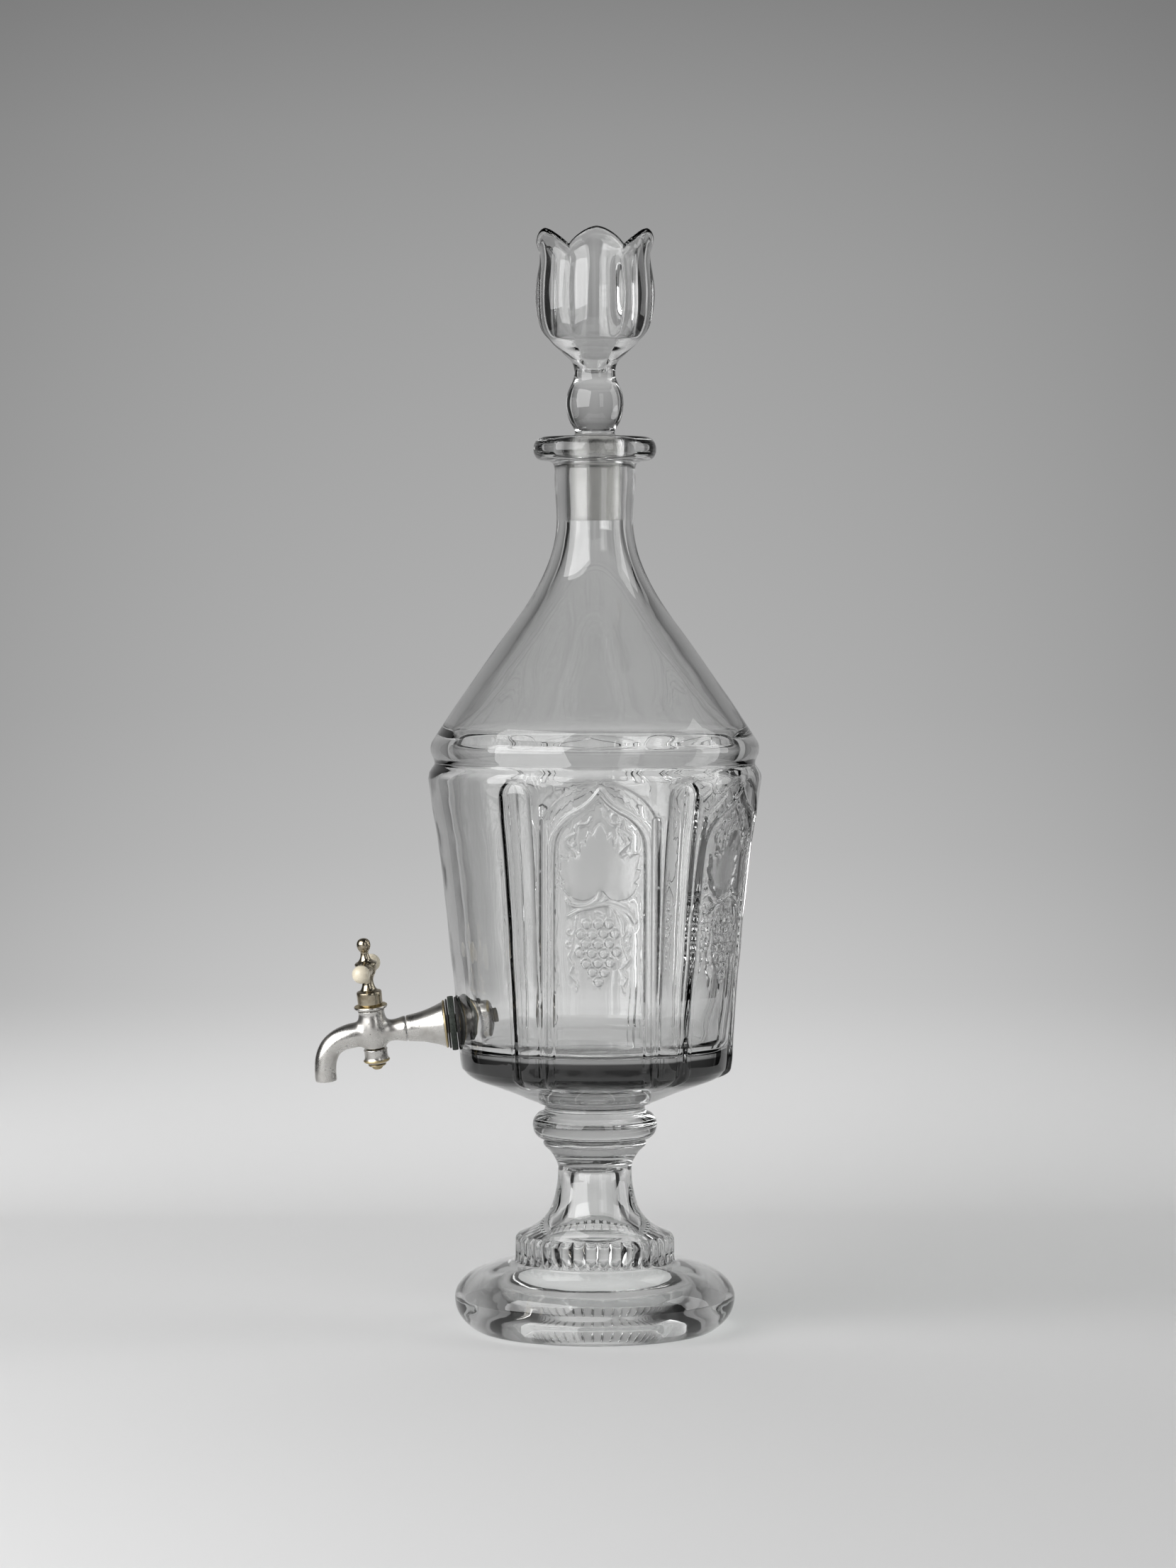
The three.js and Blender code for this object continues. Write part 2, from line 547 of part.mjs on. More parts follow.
/** The vessel: foot seat, arcaded wall, shoulder, neck and lip in one piece of pressed glass. */
function vessel() {
  const heights = wallHeights();
  const neckTop = VESSEL_HEIGHT - LIP_THICKNESS;
  const lipRound = LIP_THICKNESS / 2;
  const mouthRadius = PLUG_TOP_RADIUS + PLUG_CLEARANCE;
  const boreRadius = PLUG_END_RADIUS + PLUG_CLEARANCE;
  const floor = FLOOR_THICKNESS;
  const innerAt = (height) => plainRadius(height) - WALL;
  const outside = [
    ...baseProfile(0),
    ...heights.map((height) => [crestRadius(height), height]),
    [BEAD_RADIUS - GROOVE_DEPTH, GROOVE_HEIGHT - GROOVE_HALF_FLAT],
    [BEAD_RADIUS - GROOVE_DEPTH, GROOVE_HEIGHT + GROOVE_HALF_FLAT],
    [RING_RADIUS, RING_HEIGHT - RING_BAND],
    [RING_RADIUS, RING_HEIGHT],
    ...shoulderPoints(SHOULDER_STEPS, 0),
    [NECK_RADIUS, (NECK_START_HEIGHT + neckTop) / 2 - NECK_BAND_DROP],
    [NECK_RADIUS + NECK_SWELL, neckTop - NECK_SWELL_DROP],
    [NECK_RADIUS + NECK_TOP_SWELL, neckTop],
    ...arc(LIP_RADIUS - lipRound, VESSEL_HEIGHT - lipRound, lipRound, -90, 90, 4),
  ];
  const inside = [
    [mouthRadius, VESSEL_HEIGHT],
    [boreRadius, VESSEL_HEIGHT - PLUG_LENGTH],
    ...shoulderPoints(SHOULDER_STEPS, NECK_WALL).reverse(),
    [innerAt(BEAD_HEIGHT), RING_HEIGHT - VAULT_DROP],
    ...[BEAD_HEIGHT, BEAD_HEIGHT * 0.6].map((height) => [innerAt(height), height]),
    ...arc(innerAt(floor) - FLOOR_ROUND, floor + FLOOR_ROUND, FLOOR_ROUND, 0, -90, 2),
    [0, floor],
  ];
  const blank = turned([...outside, ...inside], BODY_SEGMENTS);
  const cores = {
    arch: wallCore(crestRadius, ARCH_DEPTH),
    panel: wallCore(crestRadius, PANEL_DEPTH),
    channel: wallCore(crestRadius, CHANNEL_DEPTH),
    column: wallCore(crestRadius, COLUMN_DEPTH),
  };
  const panels = Array.from({ length: PANEL_COUNT }, (_, i) => panelCut(i * PANEL_STEP, cores));
  const columns = Array.from({ length: PANEL_COUNT + 1 }, (_, i) => columnCut((i - 0.5) * PANEL_STEP, cores));
  const hole = rodAlongX(SHANK_RADIUS + TURNED_GAP, -3 * WALL, OVERCUT, TAP_SEGMENTS);
  const outerSeat = rodAlongX(seatRadius, 0, OVERCUT, TAP_SEGMENTS);
  const innerSeat = rodAlongX(INNER_WASHER_RADIUS + SEAT_CLEARANCE, -glassAtTap - WALL, -glassAtTap, TAP_SEGMENTS);
  return wasm.Manifold.difference([
    blank, ...panels, ...columns, tapSideCut(), fromTapFrame(hole), fromTapFrame(outerSeat), fromTapFrame(innerSeat),
  ]);
}

/** The wafer: a disc with a thin sharp edge under the vessel, on a short neck. */
function wafer() {
  return turned([
    [0, 0],
    [KNOP_NECK_RADIUS, 0],
    [KNOP_NECK_RADIUS, WAFER_THICKNESS - 2 * WAFER_EDGE],
    [WAFER_RADIUS, WAFER_THICKNESS - WAFER_EDGE],
    [WAFER_RADIUS, WAFER_THICKNESS],
    [0, WAFER_THICKNESS],
  ], PEDESTAL_SEGMENTS);
}

/** The toothed collar: a ring of lobes round the stem's foot that lean in at their tops. */
function collar() {
  const count = COLLAR_TEETH * TOOTH_POINTS;
  const root = COLLAR_RADIUS - TOOTH_DEPTH - COLLAR_BACKING;
  const sunk = FOOT_HEIGHT - COLLAR_SINK;
  const top = FOOT_HEIGHT + COLLAR_HEIGHT;
  const ring = (height, radius, relief) => Array.from({ length: count }, (_, i) => {
    const angle = (i / count) * 2 * Math.PI;
    const hollow = 1 - Math.abs(Math.sin((COLLAR_TEETH * angle) / 2));
    const size = radius - relief * hollow;
    return new THREE.Vector3(size * Math.cos(angle), size * Math.sin(angle), height);
  });
  return skinned([
    ring(sunk, root, 0),
    ring(sunk, COLLAR_RADIUS, TOOTH_DEPTH),
    ring(top - TOOTH_DEPTH, COLLAR_RADIUS, TOOTH_DEPTH),
    ring(top, COLLAR_RADIUS - TOOTH_DEPTH, TOOTH_DEPTH / 2),
    ring(top, root, 0),
  ], true);
}

/** The pedestal: foot, collar, stem and knop, hollow from below up into the stem. */
function pedestal() {
  const waist = FOOT_WAIST_HEIGHT;
  const cove = COLLAR_RADIUS + COVE_WIDTH;
  const dome = cove + COVE_ROUND;
  const collarTop = FOOT_HEIGHT + COLLAR_HEIGHT;
  const stemTop = PEDESTAL_HEIGHT - STEM_DROP;
  const stemBore = STEM_RADIUS - STEM_WALL;
  const step = PEDESTAL_HEIGHT - STEP_DROP;
  const knop = PEDESTAL_HEIGHT - KNOP_DROP;
  const stemSweep = new THREE.CubicBezierCurve(
    new THREE.Vector2(COLLAR_RADIUS - STEM_ROOT_INSET, collarTop + TOOTH_DEPTH),
    new THREE.Vector2((COLLAR_RADIUS + STEM_RADIUS / 2) / 2, collarTop + STEM_ROOT_PULL),
    new THREE.Vector2(STEM_RADIUS, THREE.MathUtils.lerp(collarTop, stemTop, STEM_TOP_PULL)),
    new THREE.Vector2(STEM_RADIUS, stemTop),
  ).getPoints(5).map((point) => [point.x, point.y]);
  const outside = [
    [FOOT_RING_RADIUS - FOOT_RING_WIDTH, 0],
    [FOOT_RING_RADIUS, 0],
    ...arc(FOOT_RING_RADIUS, waist, FOOT_RADIUS - FOOT_RING_RADIUS, FOOT_EDGE_START, 0, 3, waist),
    ...arc(dome, waist, FOOT_RADIUS - dome, DOME_START, DOME_END, 4, FOOT_HEIGHT - waist),
    [cove, FOOT_HEIGHT],
    [COLLAR_RADIUS - TOOTH_DEPTH, FOOT_HEIGHT + TURNED_GAP],
    [COLLAR_RADIUS - TOOTH_DEPTH, collarTop - TURNED_GAP],
    ...stemSweep,
    [STEM_RADIUS + COLLAR_BACKING, PEDESTAL_HEIGHT - STEM_SHOULDER_DROP],
    [STEP_RADIUS, step],
    [STEP_RADIUS, step + STEP_THICKNESS],
    ...arc(KNOP_NECK_RADIUS, knop, KNOP_RADIUS - KNOP_NECK_RADIUS, -KNOP_END, KNOP_END, 4, KNOP_HALF_DEPTH),
    [KNOP_NECK_RADIUS, PEDESTAL_HEIGHT],
    [0, PEDESTAL_HEIGHT],
  ];
  const hollow = [
    [0, PEDESTAL_HEIGHT - STEM_BORE_DROP],
    [stemBore - STEM_BORE_TAPER, PEDESTAL_HEIGHT - STEM_BORE_DROP],
    [stemBore, THREE.MathUtils.lerp(collarTop, stemTop, 0.57)],
    [stemBore + FOOT_WALL * 0.4, THREE.MathUtils.lerp(collarTop, stemTop, 0.26)],
    [COLLAR_RADIUS - FOOT_WALL * 1.45, collarTop - FOOT_WALL * 0.45],
    [COLLAR_RADIUS, FOOT_HEIGHT - FOOT_ROOF],
    [FOOT_RING_RADIUS - FOOT_RING_WIDTH, FOOT_RING_DEPTH],
  ];
  return turned([...hollow, ...outside], PEDESTAL_SEGMENTS).add(collar());
}

/** A ring of the stopper: round where lobe is 0, and six petals with creases between where it is 1. */
function petalRing(radius, height, lobe, notch = 0) {
  const count = PETALS * PETAL_POINTS;
  return Array.from({ length: count }, (_, i) => {
    const angle = (i / count) * 2 * Math.PI;
    const share = Math.abs(2 * ((i / PETAL_POINTS) % 1) - 1);
    const size = radius * (1 - PETAL_CREASE * lobe * share ** 2);
    const drop = notch * share ** NOTCH_SWEEP;
    const turn = angle - Math.PI / 2 + Math.PI / PETALS;
    return new THREE.Vector3(size * Math.cos(turn), size * Math.sin(turn), height - drop);
  });
}

/** The stopper, with its origin in the plane of the lip. */
function stopper() {
  const rings = [...PLUG_RINGS, ...KNOP_RINGS, ...TULIP_RINGS, ...CUP_RINGS];
  return skinned(rings.map(([radius, height, lobe, notch]) => petalRing(radius, height, lobe, PETAL_NOTCH * notch)));
}

// Places along the tap's axis, outwards from the ground seat on the glass
const seatingWasherStart = TURNED_GAP;
const gasketStart = seatingWasherStart + SEATING_WASHER_THICKNESS + TURNED_GAP;
const flareWasherStart = gasketStart + GASKET_THICKNESS + TURNED_GAP;
const flareStart = flareWasherStart + FLARE_WASHER_THICKNESS + TURNED_GAP;
const inletStart = flareStart + FLARE_LENGTH;
const barrelPlace = inletStart + BARREL_OFFSET;
const innerWasherStart = -glassAtTap - TURNED_GAP;
const innerNutStart = innerWasherStart - INNER_WASHER_THICKNESS - TURNED_GAP;
const shankStart = innerNutStart - INNER_NUT_THICKNESS - SHANK_OVERHANG;
const boltBore = SHANK_RADIUS + TURNED_GAP;

/** Centre line of the spout: out along X from the barrel, then round a bend and down. */
function spoutPath(overrun) {
  const straight = SPOUT_REACH - SPOUT_BEND_RADIUS;
  const bendSteps = 7;
  const start = [0, 0.5 * straight].map((x) => ({ x, z: 0, angle: 0 }));
  const bend = Array.from({ length: bendSteps + 1 }, (_, i) => {
    const angle = (i / bendSteps) * SPOUT_BEND_ANGLE * DEGREE;
    return {
      x: straight + SPOUT_BEND_RADIUS * Math.sin(angle),
      z: -SPOUT_BEND_RADIUS * (1 - Math.cos(angle)),
      angle,
    };
  });
  const last = bend[bend.length - 1];
  const drop = SPOUT_DROP + overrun;
  const end = {
    x: last.x + drop * Math.cos(last.angle),
    z: last.z - drop * Math.sin(last.angle),
    angle: last.angle,
  };
  return [...start, ...bend, end];
}

/** A tube along the spout whose radius runs from one size to another. */
function spoutSolid(rootRadius, endRadius, overrun, segments) {
  const path = spoutPath(overrun);
  return skinned(path.map(({ x, z, angle }, i) => {
    const radius = THREE.MathUtils.lerp(rootRadius, endRadius, Math.min(1, (2 * i) / (path.length - 1)));
    return Array.from({ length: segments }, (_, k) => {
      const turn = ((k + 0.5) / segments) * 2 * Math.PI;
      const up = radius * Math.cos(turn);
      return new THREE.Vector3(x + up * Math.sin(angle), radius * Math.sin(turn), z + up * Math.cos(angle));
    });
  }));
}

/** The cock's casting about its barrel's axis: barrel, inlet and spout, bored for key and water. */
function tapBody() {
  const barrel = turned([
    [0, -BARREL_BOTTOM],
    [CAP_TOP_RADIUS, -BARREL_BOTTOM],
    [BARREL_RADIUS, -BARREL_BOTTOM + 2],
    [BARREL_RADIUS + 0.5, 0],
    [BARREL_RADIUS, 6],
    [BARREL_RADIUS + 0.2, BARREL_TOP - BARREL_FLANGE_THICKNESS - 1.6],
    [BARREL_FLANGE_RADIUS, BARREL_TOP - BARREL_FLANGE_THICKNESS],
    [BARREL_FLANGE_RADIUS, BARREL_TOP],
    [0, BARREL_TOP],
  ], TAP_SEGMENTS);
  const inlet = turnedAlongX([
    [0, -BARREL_OFFSET + TURNED_GAP],
    [FLARE_NARROW_RADIUS, -BARREL_OFFSET + TURNED_GAP],
    [FLARE_NARROW_RADIUS - 0.3, -BARREL_OFFSET + 2],
    [INLET_RADIUS, -BARREL_OFFSET + 6],
    [INLET_RADIUS + 0.4, -BARREL_RADIUS],
    [INLET_RADIUS + 0.4, 0],
    [0, 0],
  ], TAP_SEGMENTS);
  const spout = spoutSolid(SPOUT_ROOT_RADIUS, SPOUT_END_RADIUS, 0, SMALL_SEGMENTS);
  const keyBore = keyPlug(KEY_CLEARANCE, BARREL_TOP + OVERCUT, -BARREL_BOTTOM - OVERCUT);
  const inletBore = rodAlongX(WATERWAY_RADIUS, -BARREL_OFFSET - OVERCUT, 0, SMALL_SEGMENTS);
  const spoutBore = spoutSolid(WATERWAY_RADIUS, WATERWAY_RADIUS, OVERCUT, SMALL_SEGMENTS);
  return wasm.Manifold.union([barrel, inlet, spout])
    .subtract(wasm.Manifold.union([keyBore, inletBore, spoutBore]));
}

/** The tapered plug of the key between two heights, grown by a clearance. */
function keyPlug(clearance, top, bottom) {
  const slope = (KEY_TOP_RADIUS - KEY_END_RADIUS) / (BARREL_TOP + BARREL_BOTTOM);
  const radiusAt = (height) => KEY_END_RADIUS + slope * (height + BARREL_BOTTOM) + clearance;
  return turned([[0, bottom], [radiusAt(bottom), bottom], [radiusAt(top), top], [0, top]], TAP_SEGMENTS);
}

const drumBottom = BARREL_TOP + TURNED_GAP;
const drumTop = drumBottom + DRUM_HEIGHT;
const capTop = -BARREL_BOTTOM - TURNED_GAP;
const capBottom = capTop - CAP_HEIGHT - CAP_CHAMFER;
const keyWasherTop = capBottom - TURNED_GAP;
const keyScrewTop = keyWasherTop - KEY_WASHER_THICKNESS - TURNED_GAP;
const keyEnd = capBottom + TURNED_GAP;

/** The key: tapered plug with its port, drum, waisted handle, cross hub and ball finial. */
function tapKey() {
  const plug = keyPlug(0, drumBottom + 0.5, -BARREL_BOTTOM);
  const tail = turned([[0, keyEnd], [KEY_TAIL_RADIUS, keyEnd], [KEY_TAIL_RADIUS, 1 - BARREL_BOTTOM],
    [0, 1 - BARREL_BOTTOM]], SMALL_SEGMENTS);
  const handle = turned([
    [0, drumBottom],
    [DRUM_RADIUS - 0.3, drumBottom],
    [DRUM_RADIUS, drumTop],
    [HANDLE_NECK_RADIUS + 0.9, drumTop + 2],
    [HANDLE_NECK_RADIUS, HANDLE_NECK_HEIGHT],
    [HUB_RADIUS * 0.85, CROSS_HEIGHT - 3],
    [HUB_RADIUS, CROSS_HEIGHT],
    [BELL_RADIUS, BELL_HEIGHT - 0.6],
    [BELL_RADIUS, BELL_HEIGHT],
    [FINIAL_NECK_RADIUS + 1, BELL_HEIGHT + 2.2],
    [FINIAL_NECK_RADIUS, FINIAL_NECK_HEIGHT],
    ...arc(0, FINIAL_HEIGHT, FINIAL_RADIUS, -55, 90, 6),
  ], TAP_SEGMENTS);
  const hub = turned([
    [0, -HUB_HALF_LENGTH],
    [KNOB_RADIUS * 0.6, -HUB_HALF_LENGTH],
    [HUB_RADIUS * 0.8, -HUB_HALF_LENGTH * 0.6],
    [HUB_RADIUS * 0.8, HUB_HALF_LENGTH * 0.6],
    [KNOB_RADIUS * 0.6, HUB_HALF_LENGTH],
    [0, HUB_HALF_LENGTH],
  ], SMALL_SEGMENTS).rotate([90, 0, 0]).translate([0, 0, CROSS_HEIGHT]);
  const port = turned([[0, -2 * KEY_TOP_RADIUS], [WATERWAY_RADIUS, -2 * KEY_TOP_RADIUS],
    [WATERWAY_RADIUS, 2 * KEY_TOP_RADIUS], [0, 2 * KEY_TOP_RADIUS]], SMALL_SEGMENTS).rotate([90, 0, 0]);
  const pinLength = HUB_HALF_LENGTH + OVERCUT;
  const pinBore = rod(PIN_RADIUS + TURNED_GAP, -pinLength, pinLength).rotate([90, 0, 0])
    .translate([0, 0, CROSS_HEIGHT]);
  const screwBore = rod(KEY_SCREW_SHANK_RADIUS + TURNED_GAP, keyEnd - 1,
    keyScrewTop + KEY_SCREW_SHANK_LENGTH + KEY_WASHER_THICKNESS + 2);
  return wasm.Manifold.union([plug, tail, handle, hub])
    .subtract(wasm.Manifold.union([port, pinBore, screwBore]));
}

/** A cylinder along Z between two heights. */
function rod(radius, bottom, top) {
  return turned([[0, bottom], [radius, bottom], [radius, top], [0, top]], SMALL_SEGMENTS);
}

/** An ivory ball knob on the +Y end of the cross pin. */
function knob() {
  const ball = turned(arc(0, 0, KNOB_RADIUS, -90, 90, 6), SMALL_SEGMENTS).rotate([90, 0, 0]);
  const bore = rod(PIN_RADIUS + TURNED_GAP, -KNOB_RADIUS - 1, KNOB_BORE_DEPTH - KNOB_RADIUS).rotate([-90, 0, 0]);
  return ball.subtract(bore).translate([0, KNOB_OFFSET, CROSS_HEIGHT]);
}

/** The bell-shaped cap under the barrel, which turns with the key. */
function bottomCap() {
  const bore = KEY_TAIL_RADIUS + TURNED_GAP;
  return turned([
    [bore, capTop],
    [CAP_TOP_RADIUS, capTop],
    [CAP_TOP_RADIUS, capTop - CAP_HEIGHT * 0.5],
    [CAP_RADIUS, capTop - CAP_HEIGHT * 0.9],
    [CAP_RADIUS, capTop - CAP_HEIGHT],
    [KEY_WASHER_RADIUS, capBottom],
    [bore, capBottom],
    [bore, capTop],
  ], TAP_SEGMENTS);
}

/** The slotted screw that draws the key down into its taper. */
function keyScrew() {
  const bottom = keyScrewTop - KEY_SCREW_HEIGHT;
  const body = turned([
    [0, bottom],
    [KEY_SCREW_RADIUS * 0.7, bottom],
    [KEY_SCREW_RADIUS, bottom + KEY_SCREW_HEIGHT * 0.5],
    [KEY_SCREW_RADIUS, keyScrewTop],
    [KEY_SCREW_SHANK_RADIUS, keyScrewTop],
    [KEY_SCREW_SHANK_RADIUS, keyScrewTop + KEY_SCREW_SHANK_LENGTH],
    [0, keyScrewTop + KEY_SCREW_SHANK_LENGTH],
  ], SMALL_SEGMENTS);
  const slot = new THREE.BoxGeometry(3 * KEY_SCREW_RADIUS, SCREW_SLOT_WIDTH, 2 * SCREW_SLOT_DEPTH);
  return body.subtract(toSolid(slot.translate(0, 0, bottom)));
}

/** The trumpet that spreads the tap's pull over the gasket. */
function inletFlare() {
  const steps = 5;
  const outside = Array.from({ length: steps + 1 }, (_, i) => {
    const share = i / steps;
    const radius = FLARE_NARROW_RADIUS + (FLARE_WIDE_RADIUS - FLARE_NARROW_RADIUS) * (1 - share) ** FLARE_SWEEP
      + FLARE_BELLY * share * (1 - share);
    return [radius, flareStart + FLARE_LENGTH * share];
  });
  return turnedAlongX([
    [boltBore, flareStart],
    ...outside,
    [boltBore, flareStart + FLARE_LENGTH],
    [boltBore, flareStart],
  ], TAP_SEGMENTS);
}

/** The threaded pipe that passes through the glass and carries the water to the cock. */
function threadedShank() {
  return washer(SHANK_RADIUS, WATERWAY_RADIUS, shankStart, inletStart - TURNED_GAP, SMALL_SEGMENTS);
}

/** The round nut inside the vessel, with two spanner flats. */
function innerNut() {
  const far = innerNutStart;
  const near = innerNutStart - INNER_NUT_THICKNESS;
  const blank = turnedAlongX([
    [boltBore, near],
    [INNER_NUT_RADIUS - 1, near],
    [INNER_NUT_RADIUS, near + 1],
    [INNER_NUT_RADIUS, far],
    [boltBore, far],
    [boltBore, near],
  ], TAP_SEGMENTS);
  const stock = new THREE.BoxGeometry(2 * INNER_NUT_THICKNESS, 2 * NUT_FLAT, 3 * INNER_NUT_RADIUS);
  return blank.intersect(toSolid(stock.translate((near + far) / 2, 0, 0)));
}

/** A material of a named finish. */
function finish(color, roughness, metalness, opacity = 1) {
  return new THREE.MeshStandardMaterial({ color, roughness, metalness, opacity, transparent: opacity < 1 });
}

const clearGlass = finish(0xdfe3e3, 0.05, 0, 0.4);
const silverPlate = finish(0xb9b4ac, 0.35, 1);
const tarnishedPlate = finish(0x8d8474, 0.4, 1);
const ivory = finish(0xe8e0c6, 0.45, 0);
const brass = finish(0xb08a46, 0.4, 1);
const oldRubber = finish(0x1d2620, 0.9, 0);
const blackLeather = finish(0x17161a, 0.85, 0);

/** A group at a place, holding meshes. */
function placed(meshes, x, y, z) {
  const group = new THREE.Group();
  group.position.set(x, y, z);
  group.add(...meshes);
  return group;
}

const key = placed([
  toMesh('tap_key', tapKey(), tarnishedPlate),
  toMesh('cross_pin', rod(PIN_RADIUS, -KNOB_OFFSET, KNOB_OFFSET).rotate([90, 0, 0])
    .translate([0, 0, CROSS_HEIGHT]), brass),
  toMesh('front_knob', knob(), ivory),
  toMesh('rear_knob', knob().rotate([0, 0, 180]), ivory),
  toMesh('bottom_cap', bottomCap(), silverPlate),
  toMesh('key_washer', turned([
    [KEY_SCREW_SHANK_RADIUS + TURNED_GAP, keyWasherTop],
    [KEY_WASHER_RADIUS, keyWasherTop],
    [KEY_WASHER_RADIUS, keyWasherTop - KEY_WASHER_THICKNESS],
    [KEY_SCREW_SHANK_RADIUS + TURNED_GAP, keyWasherTop - KEY_WASHER_THICKNESS],
    [KEY_SCREW_SHANK_RADIUS + TURNED_GAP, keyWasherTop],
  ], SMALL_SEGMENTS), brass),
  toMesh('key_screw', keyScrew(), brass),
], barrelPlace, 0, 0);
key.rotation.z = KEY_REST_ANGLE * DEGREE;

const tap = placed([
  toMesh('tap_body', tapBody().translate([barrelPlace, 0, 0]), silverPlate),
  toMesh('inlet_flare', inletFlare(), silverPlate),
  toMesh('threaded_shank', threadedShank(), brass),
  toMesh('flare_washer', washer(FLARE_WASHER_RADIUS, boltBore, flareWasherStart,
    flareWasherStart + FLARE_WASHER_THICKNESS, TAP_SEGMENTS), blackLeather),
  toMesh('packing_gasket', washer(GASKET_RADIUS, boltBore, gasketStart,
    gasketStart + GASKET_THICKNESS, TAP_SEGMENTS), oldRubber),
  toMesh('seating_washer', washer(SEATING_WASHER_RADIUS, boltBore, seatingWasherStart,
    seatingWasherStart + SEATING_WASHER_THICKNESS, TAP_SEGMENTS), blackLeather),
  toMesh('inner_washer', washer(INNER_WASHER_RADIUS, boltBore, innerWasherStart - INNER_WASHER_THICKNESS,
    innerWasherStart, TAP_SEGMENTS), blackLeather),
  toMesh('inner_nut', innerNut(), silverPlate),
], -seatDistance, 0, vesselHeight + TAP_HEIGHT);
tap.add(key);
tap.rotation.set(-TAP_ROLL * DEGREE, TAP_TILT * DEGREE, Math.PI, 'ZYX');

const urn = placed([
  toMesh('pedestal', pedestal(), clearGlass),
  toMesh('joining_wafer', wafer().translate([0, 0, waferHeight]), clearGlass),
  toMesh('urn_body', vessel().translate([0, 0, vesselHeight]), clearGlass),
  toMesh('stopper', stopper().translate([0, 0, mouthHeight]), clearGlass),
], 0, 0, 0);
urn.add(tap);
urn.name = 'wine_urn';

// The origin is on the table in the middle of the space that the urn and its tap take up
const space = new THREE.Box3().setFromObject(urn, true);
urn.position.x = -(space.min.x + space.max.x) / 2;

export default urn;
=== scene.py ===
"""Dresses a pressed-glass wine urn with a tulip stopper and a plug-cock tap.

Sizes in the pieces' classes are millimetres, above the table or from a piece's own axis. Each mesh is
made in millimetres and placed in metres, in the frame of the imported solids. The finishes, the studio
and the camera are in metres.
"""

import logging
import math
from dataclasses import dataclass, field
from enum import Enum
from typing import Any, Sequence

import bmesh
import bpy
import numpy as np
from mathutils import Matrix, Vector

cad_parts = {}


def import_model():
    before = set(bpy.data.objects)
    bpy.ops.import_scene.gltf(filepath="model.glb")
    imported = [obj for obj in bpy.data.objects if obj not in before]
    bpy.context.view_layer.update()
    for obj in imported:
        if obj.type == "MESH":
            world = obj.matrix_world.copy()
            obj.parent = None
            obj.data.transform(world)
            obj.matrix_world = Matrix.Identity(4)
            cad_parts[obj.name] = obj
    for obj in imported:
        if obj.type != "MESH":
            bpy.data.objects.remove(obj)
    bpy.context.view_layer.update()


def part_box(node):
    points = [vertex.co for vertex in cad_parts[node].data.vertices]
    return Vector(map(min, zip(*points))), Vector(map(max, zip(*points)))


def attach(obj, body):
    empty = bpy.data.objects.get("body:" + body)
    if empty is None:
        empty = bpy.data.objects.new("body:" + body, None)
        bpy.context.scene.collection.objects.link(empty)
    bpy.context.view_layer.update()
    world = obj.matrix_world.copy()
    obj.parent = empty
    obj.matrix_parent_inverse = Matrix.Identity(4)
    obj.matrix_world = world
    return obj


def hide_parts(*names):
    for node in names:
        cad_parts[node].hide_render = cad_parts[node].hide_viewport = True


log = logging.getLogger("wine_urn")

Point = tuple[float, float]
Colour = tuple[float, float, float]
Rows = tuple[tuple[float, ...], ...]
Array = np.ndarray
MILLIMETRE = 0.001
# The colour that the glass's painted shade darkens towards
BLACK = (0.0, 0.0, 0.0)
# The metal past this point is painted near black
INNER_DARK_START = -0.0242  # metres along X, just short of the free face of the nut in the wine
INNER_DARK_FADE = 0.0012
INNER_DARK_SHARE = 0.85
INNER_DARK_TONE = (0.03, 0.027, 0.023)
EASE_ROUNDS = 6
WEAR_ROUNDS = 6


# Curves and skins


def spline(points: Sequence[Sequence[float]], per_span: int = 10) -> Array:
    """Runs a smooth curve through points that may be unevenly spaced.

    Args:
        points: The points that the curve passes through.
        per_span: Samples from one point to the next.

    Returns:
        The samples, the last point included.
    """
    given = np.asarray(points, float)
    if len(given) < 3:
        return given
    held = np.vstack([2 * given[0] - given[1], given, 2 * given[-1] - given[-2]])
    gaps = np.sqrt(np.linalg.norm(np.diff(held, axis=0), axis=1))
    knots = np.concatenate([[0.0], np.cumsum(gaps)])
    parts = []
    for i in range(1, len(held) - 2):
        t = np.linspace(knots[i], knots[i + 1], per_span, endpoint=False)[:, None]
        k0, k1, k2, k3 = knots[i - 1:i + 3]
        a = (k1 - t) / (k1 - k0) * held[i - 1] + (t - k0) / (k1 - k0) * held[i]
        b = (k2 - t) / (k2 - k1) * held[i] + (t - k1) / (k2 - k1) * held[i + 1]
        c = (k3 - t) / (k3 - k2) * held[i + 1] + (t - k2) / (k3 - k2) * held[i + 2]
        d = (k2 - t) / (k2 - k0) * a + (t - k0) / (k2 - k0) * b
        e = (k3 - t) / (k3 - k1) * b + (t - k1) / (k3 - k1) * c
        parts.append((k2 - t) / (k2 - k1) * d + (t - k1) / (k2 - k1) * e)
    return np.vstack([*parts, given[-1:]])


def thinned(curve: Array, tolerance: float = 0.012, longest: float = 4.0) -> Array:
    """Drops the samples of a curve that a straight span stands for.

    Args:
        curve: Samples of the curve; columns after the second don't count as shape.
        tolerance: How far a dropped sample may lie from its span.
        longest: The longest span.

    Returns:
        The samples that stay, both ends among them.
    """
    kept = [0]
    while kept[-1] < len(curve) - 1:
        start = kept[-1]
        end = start + 1
        while end + 1 < len(curve):
            chord = curve[end + 1, :2] - curve[start, :2]
            length = max(float(np.hypot(*chord)), 1e-9)
            away = curve[start + 1:end + 1, :2] - curve[start, :2]
            offset = np.abs(away[:, 0] * chord[1] - away[:, 1] * chord[0]) / length
            if length > longest or offset.max() > tolerance:
                break
            end += 1
        kept.append(end)
    return curve[kept]


